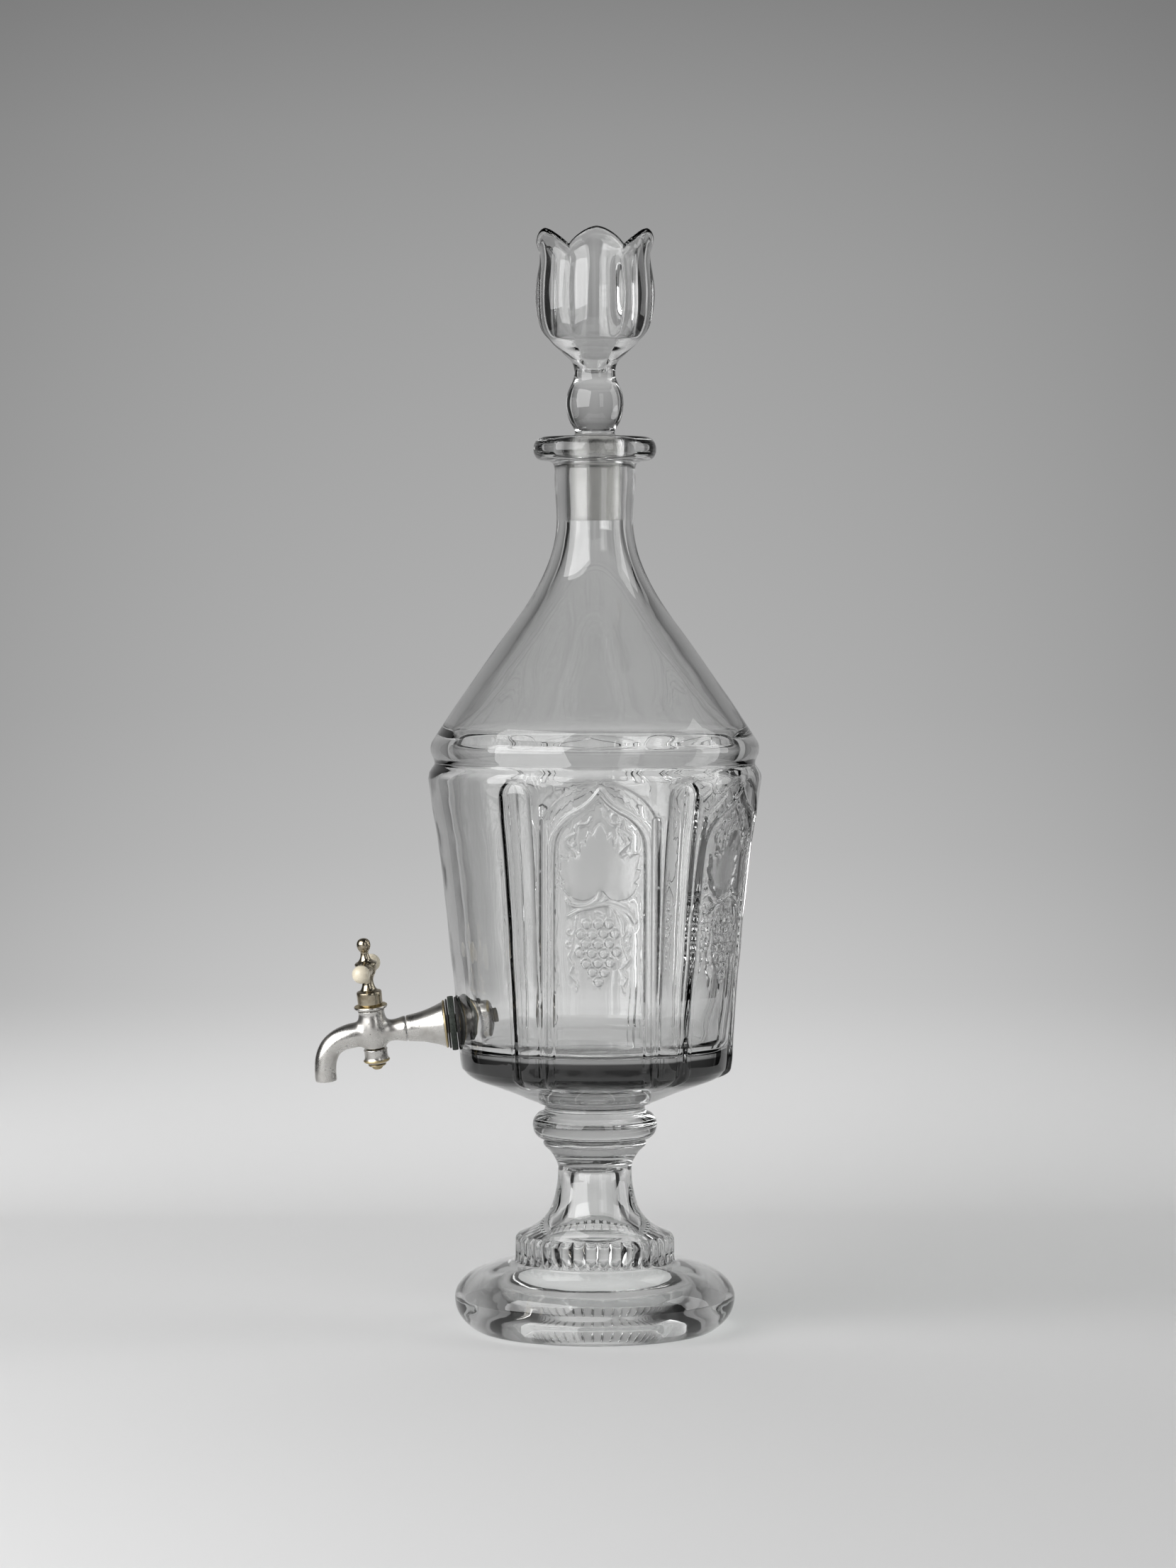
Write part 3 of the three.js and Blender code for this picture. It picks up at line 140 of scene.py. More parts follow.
def joined(*pieces: Sequence[Sequence[float]], tolerance: float = 0.012, longest: float = 4.0) -> Array:
    """Splines each piece of a profile and joins them with a corner where they meet."""
    curves = [thinned(spline(piece), tolerance, longest) for piece in pieces]
    parts = [curves[0]]
    for curve in curves[1:]:
        same = np.hypot(*(curve[0, :2] - parts[-1][-1, :2])) < 1e-6
        parts.append(curve[1:] if same else curve)
    return np.vstack(parts)


def smooth_step(low: float, high: float, value: Array) -> Array:
    """Eases from 0 at low to 1 at high."""
    share = np.clip((value - low) / (high - low), 0, 1)
    return share * share * (3 - 2 * share)


def circle(count: int) -> Array:
    """Divides a full turn into equal angles, in radians."""
    return np.arange(count) / count * 2 * np.pi


def dome(away: Array) -> Array:
    """Rises as half a circle does, from 0 at a distance of 1 to 1 in the middle."""
    return np.sqrt(np.clip(1 - away ** 2, 0, 1))


def tangents(curve: Array) -> Array:
    """Finds the direction of a curve at each of its samples."""
    steps = np.gradient(curve, axis=0)
    return steps / np.linalg.norm(steps, axis=1)[:, None]


def span_distance(x: Array, z: Array, start: Sequence[float], end: Sequence[float]) -> Array:
    """Measures how far points lie from a straight span."""
    dx, dz = end[0] - start[0], end[1] - start[1]
    share = np.clip(((x - start[0]) * dx + (z - start[1]) * dz) / max(dx * dx + dz * dz, 1e-12), 0, 1)
    return np.hypot(x - start[0] - share * dx, z - start[1] - share * dz)


def turn_from(turn: Array, middle: float) -> Array:
    """Measures degrees round from a middle, from -180 to 180."""
    return (turn - middle + 180) % 360 - 180


def spin(degrees: float, axis: str) -> Matrix:
    """Makes a turn about an axis."""
    return Matrix.Rotation(math.radians(degrees), 4, axis)


def above(height: float) -> Matrix:
    """Makes a move along Z."""
    return Matrix.Translation((0, 0, height))


class Skin:
    """Points and faces of one closed skin, with a mark from 0 to 1 at each point."""

    def __init__(self) -> None:
        """Starts with no points."""
        self.points: list[Array] = []
        self.marks: list[Array] = []
        self.faces: list[Sequence[int]] = []
        self.size = 0

    def add(self, points: Array, mark: float | Array = 0.0) -> Array:
        """Adds points and returns their numbers."""
        points = np.atleast_2d(np.asarray(points, float))
        self.points.append(points)
        self.marks.append(np.broadcast_to(mark, len(points)))
        self.size += len(points)
        return np.arange(self.size - len(points), self.size)

    def ring(self, radius: float | Array, height: float, count: int, mark: float = 0.0) -> Array:
        """Adds a ring of points that starts on the front side and returns their numbers."""
        turn = circle(count)
        size = np.broadcast_to(radius, count)
        points = np.stack([size * np.sin(turn), -size * np.cos(turn), np.full(count, height)], 1)
        return self.add(points, mark)

    def rings(self, rows: Array, count: int) -> list[Array]:
        """Adds a ring for each row of radius and height."""
        return [self.ring(radius, height, count) for radius, height in rows]

    def bridge(self, low: Array, high: Array) -> None:
        """Joins two rings with faces; one may have a whole multiple of the other's points."""
        if len(low) == len(high):
            after = np.roll(np.arange(len(low)), -1)
            self.faces.extend(np.stack([low, low[after], high[after], high], 1).tolist())
            return
        coarse, fine = (low, high) if len(low) < len(high) else (high, low)
        ratio = len(fine) // len(coarse)
        for i, corner in enumerate(coarse):
            after = coarse[(i + 1) % len(coarse)]
            for k in range(ratio):
                a, b = fine[i * ratio + k], fine[(i * ratio + k + 1) % len(fine)]
                nearest = corner if k < ratio / 2 else after
                self.faces.append((nearest, b, a) if coarse is low else (a, b, nearest))
            middle = fine[(i * ratio + math.ceil(ratio / 2)) % len(fine)]
            self.faces.append((corner, after, middle) if coarse is low else (corner, middle, after))

    def join(self, rings: list[Array], looped: bool = False) -> None:
        """Bridges each ring to the next; looped bridges the last to the first too."""
        for low, high in zip(rings, rings[1:] + (rings[:1] if looped else [])):
            self.bridge(low, high)

    def cap(self, ring: Array, tip: Sequence[float], first: bool, mark: float = 0.0) -> None:
        """Closes a ring with a fan; first says that it is where the skin starts."""
        top = int(self.add(np.asarray(tip), mark)[0])
        after = np.roll(ring, -1)
        pairs = zip(after, ring) if first else zip(ring, after)
        self.faces.extend((int(a), int(b), top) for a, b in pairs)

    def lathe(self, profile: Array, count: int, looped: bool = False) -> None:
        """Adds a turned skin whose profile runs up the outside and back down the inside.

        Args:
            profile: Rows of radius, height and, if given, mark.
            count: Points in each ring.
            looped: True for a ring-shaped piece that closes on itself.
        """
        marks = profile[:, 2] if profile.shape[1] > 2 else np.zeros(len(profile))
        rings, tips = [], []
        for (radius, height), mark in zip(profile[:, :2], marks):
            if radius < 1e-6:
                tips.append(((0, 0, height), mark, not rings))
            else:
                rings.append(self.ring(radius, height, count, mark))
        self.join(rings, looped)
        for tip, mark, first in tips:
            self.cap(rings[0] if first else rings[-1], tip, first, mark)

    def mesh(self, name: str, place: Matrix, mark_name: str = "wear") -> bpy.types.Object:
        """Makes the skin an object whose place is in its mesh.

        Args:
            name: The object's name.
            place: From the skin's millimetres to the scene's metres.
            mark_name: The name of the attribute that holds the marks.

        Returns:
            The new object, shaded smooth.
        """
        data = bpy.data.meshes.new(name)
        data.from_pydata(np.vstack(self.points).tolist(), [], self.faces)
        store(data, mark_name, np.concatenate(self.marks))
        return placed(data, name, place)


def store(data: bpy.types.Mesh, name: str, values: Array) -> None:
    """Writes a number for each point of a mesh, over what was there."""
    old = data.attributes.get(name)
    if old:
        data.attributes.remove(old)
    data.attributes.new(name, "FLOAT", "POINT").data.foreach_set("value", values.astype(np.float32))


def vectors(points: Any, name: str) -> Array:
    """Reads a vector for each point of a mesh."""
    values = np.empty(len(points) * 3)
    points.foreach_get(name, values)
    return values.reshape(-1, 3)


def placed(data: bpy.types.Mesh, name: str, place: Matrix) -> bpy.types.Object:
    """Puts a mesh in the scene with its place in its points, shaded smooth."""
    data.transform(place)
    data.shade_smooth()
    data.update()
    piece = bpy.data.objects.new(name, data)
    bpy.context.scene.collection.objects.link(piece)
    return piece


def turned(name: str, profile: Array, count: int, place: Matrix, looped: bool = False) -> bpy.types.Object:
    """Makes one turned piece from a profile of radius, height and mark."""
    skin = Skin()
    skin.lathe(profile, count, looped)
    return skin.mesh(name, place)


def solid(name: str, profile: Sequence[Point], place: Matrix, count: int = 96) -> bpy.types.Object:
    """Turns a solid from rows of radius and height, closed on its axis at both ends."""
    rows = np.asarray(profile)[:, :2]
    return turned(name, np.vstack([[(0, rows[0, 1])], rows, [(0, rows[-1, 1])]]), count, place)


def block(name: str, size: Sequence[float], place: Matrix) -> bpy.types.Object:
    """Makes a box round the origin of its place."""
    data = bpy.data.meshes.new(name)
    work = bmesh.new()
    bmesh.ops.create_cube(work, size=1.0)
    bmesh.ops.scale(work, vec=size, verts=work.verts)
    work.to_mesh(data)
    work.free()
    return placed(data, name, place)


def crisp(piece: bpy.types.Object, degrees: float) -> bpy.types.Object:
    """Shades a piece smooth, but for the edges where its faces meet at more than an angle."""
    piece.data.shade_smooth()
    piece.data.set_sharp_from_angle(angle=math.radians(degrees))
    return piece


def evaluated(piece: bpy.types.Object) -> bpy.types.Mesh:
    """Makes a mesh from the result of a piece's modifiers."""
    graph = bpy.context.evaluated_depsgraph_get()
    return bpy.data.meshes.new_from_object(piece.evaluated_get(graph), preserve_all_data_layers=True,
                                           depsgraph=graph)


def baked(piece: bpy.types.Object) -> None:
    """Makes the result of a piece's modifiers its own plain mesh."""
    old, piece.data = piece.data, evaluated(piece)
    piece.modifiers.clear()
    piece.data.name = old.name
    bpy.data.meshes.remove(old)


def carved(piece: bpy.types.Object, other: bpy.types.Object, operation: str) -> None:
    """Cuts another piece away from a piece or joins it on, and removes the other."""
    change = piece.modifiers.new("carve", "BOOLEAN")
    change.operation = operation
    change.solver = "MANIFOLD"
    change.object = other
    baked(piece)
    bpy.data.objects.remove(other)


def softened(piece: bpy.types.Object, voxel: float, place: Matrix, inner: float, outer: float,
             rounds: int) -> None:
    """Melts a piece's joints into fillets, as in a casting.

    Args:
        piece: The piece, with plain joints.
        voxel: Size of its new facets in millimetres.
        place: The frame whose origin the fillets lie round.
        inner: Distance from there, in millimetres, within which they are full.
        outer: Distance from there where they end.
        rounds: How often the part near the origin is eased.
    """
    melt = piece.modifiers.new("melt", "REMESH")
    melt.mode = "VOXEL"
    melt.voxel_size = voxel * MILLIMETRE
    baked(piece)
    points = vectors(piece.data.vertices, "co")
    away = np.linalg.norm(points - np.array(place.translation), axis=1) / MILLIMETRE
    near = piece.vertex_groups.new(name="near")
    for index, share in enumerate(smooth_step(outer, inner, away).tolist()):
        if share > 0:
            near.add([index], share, "REPLACE")
    for group, number in (("near", rounds), ("", EASE_ROUNDS)):
        ease = piece.modifiers.new("ease", "SMOOTH")
        ease.factor = 0.5
        ease.iterations = number
        ease.vertex_group = group
    baked(piece)
    piece.vertex_groups.clear()


def mark_edges(piece: bpy.types.Object, scale: float) -> None:
    """Marks a piece's convex points, where its plate wears through first.

    Args:
        piece: The piece to mark.
        scale: The bend of a point, in millimetres, at which its mark is 1.
    """
    mesh = piece.data
    points, normals = (vectors(mesh.vertices, name) for name in ("co", "normal"))
    ends = np.empty(len(mesh.edges) * 2, int)
    mesh.edges.foreach_get("vertices", ends)
    a, b = ends.reshape(-1, 2).T
    number = np.bincount(a, minlength=len(points)) + np.bincount(b, minlength=len(points)) + 1e-9

    def mean(values: Array) -> Array:
        """Averages the neighbours of each point."""
        total = np.zeros_like(values)
        np.add.at(total, a, values[b])
        np.add.at(total, b, values[a])
        return total / (number[:, None] if values.ndim > 1 else number)

    away = points - mean(mean(points))
    bend = np.einsum("ij,ij->i", away, normals) / (scale * MILLIMETRE)
    for _ in range(WEAR_ROUNDS):
        bend = 0.5 * bend + 0.5 * mean(bend)
    store(mesh, "wear", np.clip(bend, 0, 1))


def face_outwards(mesh: bpy.types.Mesh, merge: float) -> None:
    """Merges a closed mesh's doubles and turns its faces outwards."""
    work = bmesh.new()
    work.from_mesh(mesh)
    bmesh.ops.remove_doubles(work, verts=work.verts, dist=merge)
    bmesh.ops.recalc_face_normals(work, faces=work.faces)
    work.to_mesh(mesh)
    work.free()


# Node trees


class Signal:
    """An output of a node tree; arithmetic on it adds Math nodes."""

    def __init__(self, sheet: "Sheet", socket: bpy.types.NodeSocket) -> None:
        """Wraps a socket of a sheet."""
        self.sheet = sheet
        self.socket = socket

    def math(self, operation: str, *values: Any, clamp: bool = False) -> "Signal":
        """Adds one Math node with this signal and other values as its inputs."""
        inputs = dict(enumerate((self, *values)))
        return self.sheet.out("ShaderNodeMath", {"operation": operation, "use_clamp": clamp}, inputs)

    def __add__(self, other: Any) -> "Signal":
        """Adds."""
        return self.math("ADD", other)

    def __sub__(self, other: Any) -> "Signal":
        """Subtracts."""
        return self.math("SUBTRACT", other)

    def __rsub__(self, other: float) -> "Signal":
        """Is subtracted from a number."""
        return self.sheet.out("ShaderNodeMath", {"operation": "SUBTRACT"}, {0: other, 1: self})

    def __mul__(self, other: Any) -> "Signal":
        """Multiplies."""
        return self.math("MULTIPLY", other)

    def __truediv__(self, other: Any) -> "Signal":
        """Divides."""
        return self.math("DIVIDE", other)

    def __pow__(self, other: Any) -> "Signal":
        """Raises to a power."""
        return self.math("POWER", other)

    __radd__ = __add__
    __rmul__ = __mul__

    def between(self, low: float, high: float) -> "Signal":
        """Eases from 0 at low to 1 at high."""
        return self.sheet.out("ShaderNodeMapRange", {"interpolation_type": "SMOOTHSTEP"}, {
            "Value": self, "From Min": low, "From Max": high, "To Min": 0.0, "To Max": 1.0})


class Sheet:
    """A node tree that is written as expressions."""

    def __init__(self, tree: bpy.types.NodeTree) -> None:
        """Opens a tree."""
        self.tree = tree

    def node(self, kind: str, settings: dict[str, Any] | None = None,
             sockets: dict[str | int, Any] | None = None) -> bpy.types.Node:
        """Adds a node.

        Args:
            kind: The node's type.
            settings: The node's own settings, set before its sockets; "stops" fills its ramp.
            sockets: Values or signals of its inputs, by identifier, name or place.

        Returns:
            The node.
        """
        node = self.tree.nodes.new(kind)
        node.location = (220 * (len(self.tree.nodes) % 8), -260 * (len(self.tree.nodes) // 8))
        for name, value in (settings or {}).items():
            if name == "stops":
                self.fill_ramp(node.color_ramp, value)
            else:
                setattr(node, name, value)
        for key, value in (sockets or {}).items():
            socket = self.find(node.inputs, key)
            if isinstance(value, Signal):
                self.tree.links.new(value.socket, socket)
            else:
                socket.default_value = value
        return node

    def out(self, kind: str, settings: dict[str, Any] | None = None,
            sockets: dict[str | int, Any] | None = None, key: str | int = 0) -> Signal:
        """Adds a node and returns one of its outputs."""
        return self.read(self.node(kind, settings, sockets), key)

    def read(self, node: bpy.types.Node, key: str | int = 0) -> Signal:
        """Wraps one output of a node."""
        return Signal(self, self.find(node.outputs, key))

    @staticmethod
    def find(sockets: Any, key: str | int) -> bpy.types.NodeSocket:
        """Finds a socket by its place, its identifier or its name."""
        if isinstance(key, int):
            return sockets[key]
        for socket in sockets:
            if socket.identifier == key:
                return socket
        return next(socket for socket in sockets if socket.name == key and socket.enabled)

    @staticmethod
    def fill_ramp(ramp: bpy.types.ColorRamp, stops: Sequence[tuple[float, Sequence[float]]]) -> None:
        """Puts stops of place and colour in a ramp."""
        while len(ramp.elements) < len(stops):
            ramp.elements.new(0.5)
        for element, (place, colour) in zip(ramp.elements, stops):
            element.position = place
            element.color = (*colour[:3], 1.0)

    def blend(self, share: Any, first: Any, second: Any) -> Signal:
        """Mixes two colours by a share."""
        return self.out("ShaderNodeMix", {"data_type": "RGBA"}, {
            "Factor_Float": share, "A_Color": rgba(first), "B_Color": rgba(second)}, "Result_Color")

    def place(self) -> Signal:
        """Reads the place on the piece in metres."""
        return self.out("ShaderNodeTexCoord", {}, {}, "Object")

    def marked(self, name: str) -> Signal:
        """Reads a mark of the mesh."""
        return self.out("ShaderNodeAttribute", {"attribute_name": name}, {}, "Fac")

    def darkened_inside(self, where: Signal, tone: Signal) -> Signal:
        """Blackens the metal past a point along X: the end of the nut and of the pipe inside the vessel."""
        inwards = self.ragged(self.split(where)[0], where, 300, 3, 0.001)
        share = inwards.between(INNER_DARK_START, INNER_DARK_START + INNER_DARK_FADE) * INNER_DARK_SHARE
        return self.blend(share, tone, INNER_DARK_TONE)

    def split(self, place: Signal) -> list[Signal]:
        """Takes a place apart into X, Y and Z."""
        parts = self.node("ShaderNodeSeparateXYZ", {}, {0: place})
        return [self.read(parts, i) for i in range(3)]

    def noise(self, where: Signal, scale: float, detail: float, rough: float = 0.5) -> Signal:
        """Adds smooth noise with a scale in waves per metre."""
        return self.out("ShaderNodeTexNoise", {},
                        {"Vector": where, "Scale": scale, "Detail": detail, "Roughness": rough}, "Fac")

    def ragged(self, value: Signal, where: Signal, scale: float, detail: float, depth: float) -> Signal:
        """Makes a measure wander from place to place by a depth in metres."""
        return value + (self.noise(where, scale, detail) - 0.5) * depth

    def cracks(self, where: Signal, scale: float) -> Signal:
        """Measures how far a place is from the nearest edge of scattered cells."""
        return self.out("ShaderNodeTexVoronoi", {"feature": "DISTANCE_TO_EDGE"},
                        {"Vector": where, "Scale": scale}, "Distance")

    def bump(self, height: Signal, distance: float) -> Signal:
        """Turns a height from 0 to 1 into a bump of a depth in millimetres."""
        return self.out("ShaderNodeBump", {},
                        {"Height": height, "Distance": distance * MILLIMETRE, "Strength": 1.0}, "Normal")

    def shader(self, tone: Signal, rough: Signal, relief: Signal, plain: dict[str, float]) -> Signal:
        """Adds a finish's shader; plain holds the settings that are the same all over."""
        return self.out("ShaderNodeBsdfPrincipled", {},
                        {"Base Color": tone, "Roughness": rough, "Normal": relief, **plain})

    def mix(self, share: Signal, first: Signal, second: Signal) -> Signal:
        """Mixes two shaders by a share."""
        return self.out("ShaderNodeMixShader", {}, {0: share, 1: first, 2: second})

    def rays(self, *kinds: str) -> list[Signal]:
        """Reads whether the ray that asks is of each of some kinds."""
        path = self.node("ShaderNodeLightPath")
        return [self.read(path, f"Is {kind} Ray") for kind in kinds]

    def close(self, geometry: Signal) -> None:
        """Ends a geometry tree: its instances become real and take the finish."""
        real = self.out("GeometryNodeRealizeInstances", {}, {0: geometry})
        self.node("NodeGroupOutput", {}, {0: self.out("GeometryNodeSetMaterial", {}, {"Geometry": real})})


def rgba(colour: Any) -> Any:
    """Gives a plain colour its fourth number and leaves a signal as it is."""
    return colour if isinstance(colour, Signal) else (*colour, 1.0)


def rule(name: str, source: str, sizes: dict[str, float]) -> tuple[Sheet, list[Signal]]:
    """Opens a Geometry Nodes tree.

    Args:
        name: The tree's name.
        source: The name of its geometry input.
        sizes: Its number inputs, with their values.

    Returns:
        The sheet and its inputs, the geometry first.
    """
    tree = bpy.data.node_groups.new(name, "GeometryNodeTree")
    face = tree.interface
    face.new_socket("Geometry", in_out="OUTPUT", socket_type="NodeSocketGeometry")
    face.new_socket(source, in_out="INPUT", socket_type="NodeSocketGeometry")
    for title, value in sizes.items():
        face.new_socket(title, in_out="INPUT", socket_type="NodeSocketFloat").default_value = value
    sheet = Sheet(tree)
    given = sheet.node("NodeGroupInput")
    return sheet, [sheet.read(given, i) for i in range(len(sizes) + 1)]


@dataclass(frozen=True)
class Finish:
    """A finish of the urn: each kind builds its own material on a fresh sheet."""

    name: str

    def build(self) -> bpy.types.Material:
        """Makes the material."""
        material = bpy.data.materials.new(self.name)
        material.use_nodes = True
        material.node_tree.nodes.clear()
        sheet = Sheet(material.node_tree)
        surface = self.surface(sheet)
        end = sheet.node("ShaderNodeOutputMaterial", {}, {"Surface": surface})
        self.fill(sheet, end)
        return material

    def fill(self, sheet: Sheet, end: bpy.types.Node) -> None:
        """Adds what fills the piece; most finishes add nothing."""

    def surface(self, sheet: Sheet) -> Signal:
        """Builds the shader on a sheet."""
        raise NotImplementedError

@dataclass(frozen=True)
class ClearGlass(Finish):
    """Fire-polished pressed glass, ground where the stopper seats and satin in the leaves, with painted
    shade.

    Bore, heights and band are millimetres from the axis and above the table; the axis itself and the
    edges, ends and reaches over which they fade are metres.
    """

    axis: float = 0.0
    tint: Colour = (0.99, 0.992, 0.99)
    depth_tint: Colour = (0.1, 0.11, 0.105)
    absorption: float = 6.5
    ior: float = 1.51
    shade: Colour = (0.86, 0.87, 0.865)
    # Tint of the residue line, and painted shade that greys the ground bore
    residue_and_shade_tint: Colour = (0.72, 0.71, 0.68)
    polish: float = 0.002
    ground_roughness: float = 0.15
    satin_roughness: float = 0.22
    smear_roughness: float = 0.012
    residue_roughness: float = 0.2
    bore: tuple[float, float] = (11.7, 13.6)
    bore_heights: tuple[float, float] = (391.5, 431.0)
    bore_edges: tuple[float, float] = (0.0002, 0.0001)
    bore_ends: tuple[float, float] = (0.0008, 0.001)
    residue_height: float = 141.5
    residue_edge: tuple[float, float] = (0.0002, 0.0011)
    residue_reach: tuple[float, float] = (0.058, 0.06)
    # Painted shade: a stripe round the outside of the base is darkened nearly to black
    painted_shade_heights: tuple[float, float] = (122.6, 135.8)
    painted_shade_ends: tuple[float, float] = (0.0015, 0.0012)
    painted_shade_reach: tuple[float, float] = (0.057, 0.06)
    painted_shade_depth: float = 0.98
    darkest: float = 0.985
    # Painted shade: the glass darkens towards black where it is seen at grazing angles
    painted_rim_shade: float = 0.8
    painted_rim_power: float = 4.0
    wave: float = 34.0
    wave_depth: float = 0.35
    grain_share: float = 0.17

    def surface(self, sheet: Sheet) -> Signal:
        """Builds clear glass whose shadow is pale."""
        where = sheet.place()
        x, y, z = sheet.split(where)
        out = ((x - self.axis) ** 2.0 + y ** 2.0) ** 0.5
        grain = sheet.noise(where, 2200, 3)
        low, high = (value * MILLIMETRE for value in self.bore)
        bottom, top = (value * MILLIMETRE for value in self.bore_heights)
        ragged = sheet.ragged(z, where, 420, 3, 0.0035)
        inner, outer = self.bore_edges
        below, over = self.bore_ends
        ground = (out.between(low - inner, low + inner) * (1 - out.between(high - outer, high + outer))
                  * ragged.between(bottom, bottom + below) * (1 - ragged.between(top - over, top)))
        satin = sheet.marked("frost").math("MINIMUM", 1.0)
        smear = sheet.noise(where, 55, 4, 0.6).between(0.58, 0.8)
        line = sheet.ragged(z, where, 60, 2, 0.006) - self.residue_height * MILLIMETRE
        residue = ((1 - line.math("ABSOLUTE").between(*self.residue_edge))
                   * (1 - out.between(*self.residue_reach)))
        rough = (ground * self.ground_roughness + satin * self.satin_roughness
                 + smear * self.smear_roughness + residue * self.residue_roughness + self.polish).math(
                     "MINIMUM", 1.0, clamp=True)
        # Painted shade: the stripe round the base darkens nearly to black on faces that rays enter
        bottom, top = (value * MILLIMETRE for value in self.painted_shade_heights)
        below, over = self.painted_shade_ends
        leaving = sheet.out("ShaderNodeNewGeometry", {}, {}, "Backfacing")
        band = (z.between(bottom - below, bottom) * (1 - z.between(top - over, top))
                * out.between(*self.painted_shade_reach) * (1 - leaving))
        # The residue line takes the tint; the ground bore takes it as painted shade
        tone = sheet.blend(residue * 0.35 + ground * 0.5, self.tint, self.residue_and_shade_tint)
        # Painted shade: dark edges where the glass is seen at grazing angles
        painted_rim = sheet.out("ShaderNodeLayerWeight", {}, {"Blend": 0.5}, "Facing") ** self.painted_rim_power
        dark = (band * self.painted_shade_depth + painted_rim * self.painted_rim_shade).math("MINIMUM", self.darkest)
        tone = sheet.blend(dark, tone, BLACK)
        height = sheet.noise(where, self.wave, 1.5) + grain * ground * self.grain_share
        glass = sheet.shader(tone, rough, sheet.bump(height, self.wave_depth),
                             {"IOR": self.ior, "Transmission Weight": 1.0})
        clear = sheet.out("ShaderNodeBsdfTransparent", {}, {"Color": rgba(self.shade)})
        return sheet.mix(sheet.rays("Shadow")[0], glass, clear)

    def fill(self, sheet: Sheet, end: bpy.types.Node) -> None:
        """Darkens light along its way through thick glass."""
        grey = sheet.out("ShaderNodeVolumeAbsorption", {},
                         {"Color": rgba(self.depth_tint), "Density": self.absorption})
        sheet.tree.links.new(grey.socket, end.inputs["Volume"])


@dataclass(frozen=True)
class WornPlate(Finish):
    """Silver plate that wears through to brass on its edges and pits with age."""

    silver: Colour = (0.66, 0.645, 0.62)
    dull: Colour = (0.33, 0.31, 0.28)
    brass: Colour = (0.5, 0.41, 0.24)
    pitted: Colour = (0.05, 0.042, 0.035)
    roughness: float = 0.27
    dulling: float = 0.5
    worn: float = 0.8
    pits: float = 620.0
    relief: float = 0.035

    def surface(self, sheet: Sheet) -> Signal:
        """Builds the plate, its pits, its dull film and its worn edges."""
        where = sheet.place()
        cloud = sheet.noise(where, 95, 5, 0.62)
        scuff = sheet.noise(where, 900, 4, 0.7)
        film = cloud.between(0.42, 0.72) * self.dulling
        edge = sheet.marked("wear")
        wear = edge * 1.25 + (cloud - 0.5) * 0.8 + (scuff - 0.5) * 0.5
        through = wear.between(self.worn, self.worn + 0.35)
        cells = sheet.out("ShaderNodeTexVoronoi", {}, {"Vector": where, "Scale": self.pits}, "Distance")
        sparse = sheet.noise(where, 210, 2).between(0.58, 0.68)
        pit = (1 - cells.between(0.12, 0.26)) * sparse
        tone = sheet.blend(film, self.silver, self.dull)
        tone = sheet.blend(through, tone, self.brass)
        tone = sheet.darkened_inside(where, sheet.blend(pit * 0.75, tone, self.pitted))
        rough = (film * 0.26 + scuff * 0.14 + through * 0.08 + pit * 0.4 + (self.roughness - 0.07)).math(
            "MINIMUM", 1.0, clamp=True)
        height = scuff * 0.25 - pit * 0.5 + cloud * 0.5
        return sheet.shader(tone, rough, sheet.bump(height, self.relief), {"Metallic": 1.0})


@dataclass(frozen=True)
class OldIvory(Finish):
    """Turned ivory, yellowed, with fine grain and dirt round its bore."""

    light: Colour = (0.80, 0.74, 0.60)
    deep: Colour = (0.62, 0.50, 0.33)
    soiled: Colour = (0.23, 0.16, 0.09)
    roughness: float = 0.3
    relief: float = 0.04

    def surface(self, sheet: Sheet) -> Signal:
        """Builds the ivory with its growth lines and hairline cracks."""
        where = sheet.place()
        tusk = sheet.out("ShaderNodeMapping", {},
                         {"Vector": where, "Rotation": (0.12, 0.35, 0.2), "Scale": (1.0, 0.25, 1.0)})
        grain = sheet.out("ShaderNodeTexWave", {"bands_direction": "Z"}, {
            "Vector": tusk, "Scale": 420, "Distortion": 3.5, "Detail": 2.0, "Detail Scale": 1.4}, "Fac")
        cloud = sheet.noise(where, 260, 3)
        hair = (1 - sheet.cracks(tusk, 330).between(0.005, 0.03)) * cloud.between(0.5, 0.62)
        dirt = sheet.marked("wear")
        tone = sheet.blend(grain * 0.22 + cloud * 0.2, self.light, self.deep)
        tone = sheet.blend((hair * 0.5 + dirt * 0.75).math("MINIMUM", 1.0), tone, self.soiled)
        rough = cloud * 0.12 + hair * 0.3 + dirt * 0.3 + (self.roughness - 0.06)
        return sheet.shader(tone, rough, sheet.bump(grain * 0.3 - hair, self.relief),
                            {"Coat Weight": 0.25, "Coat Roughness": 0.2})


@dataclass(frozen=True)
class AgedBrass(Finish):
    """Bare brass that has browned, brighter where threads and slots rub."""

    bright: Colour = (0.46, 0.38, 0.23)
    brown: Colour = (0.16, 0.125, 0.085)
    browning: tuple[float, float] = (0.35, 0.68)
    roughness: float = 0.34
    relief: float = 0.06

    def surface(self, sheet: Sheet) -> Signal:
        """Builds the brass and its brown film."""
        where = sheet.place()
        cloud = sheet.noise(where, 320, 5, 0.65)
        grit = sheet.noise(where, 2600, 3, 0.6)
        film = (cloud - sheet.marked("wear") * 0.3).between(*self.browning)
        tone = sheet.darkened_inside(where, sheet.blend(film, self.bright, self.brown))
        rough = film * 0.25 + grit * 0.12 + (self.roughness - 0.05)
        height = cloud * 0.6 + grit * 0.4
        return sheet.shader(tone, rough, sheet.bump(height, self.relief), {"Metallic": 1.0})


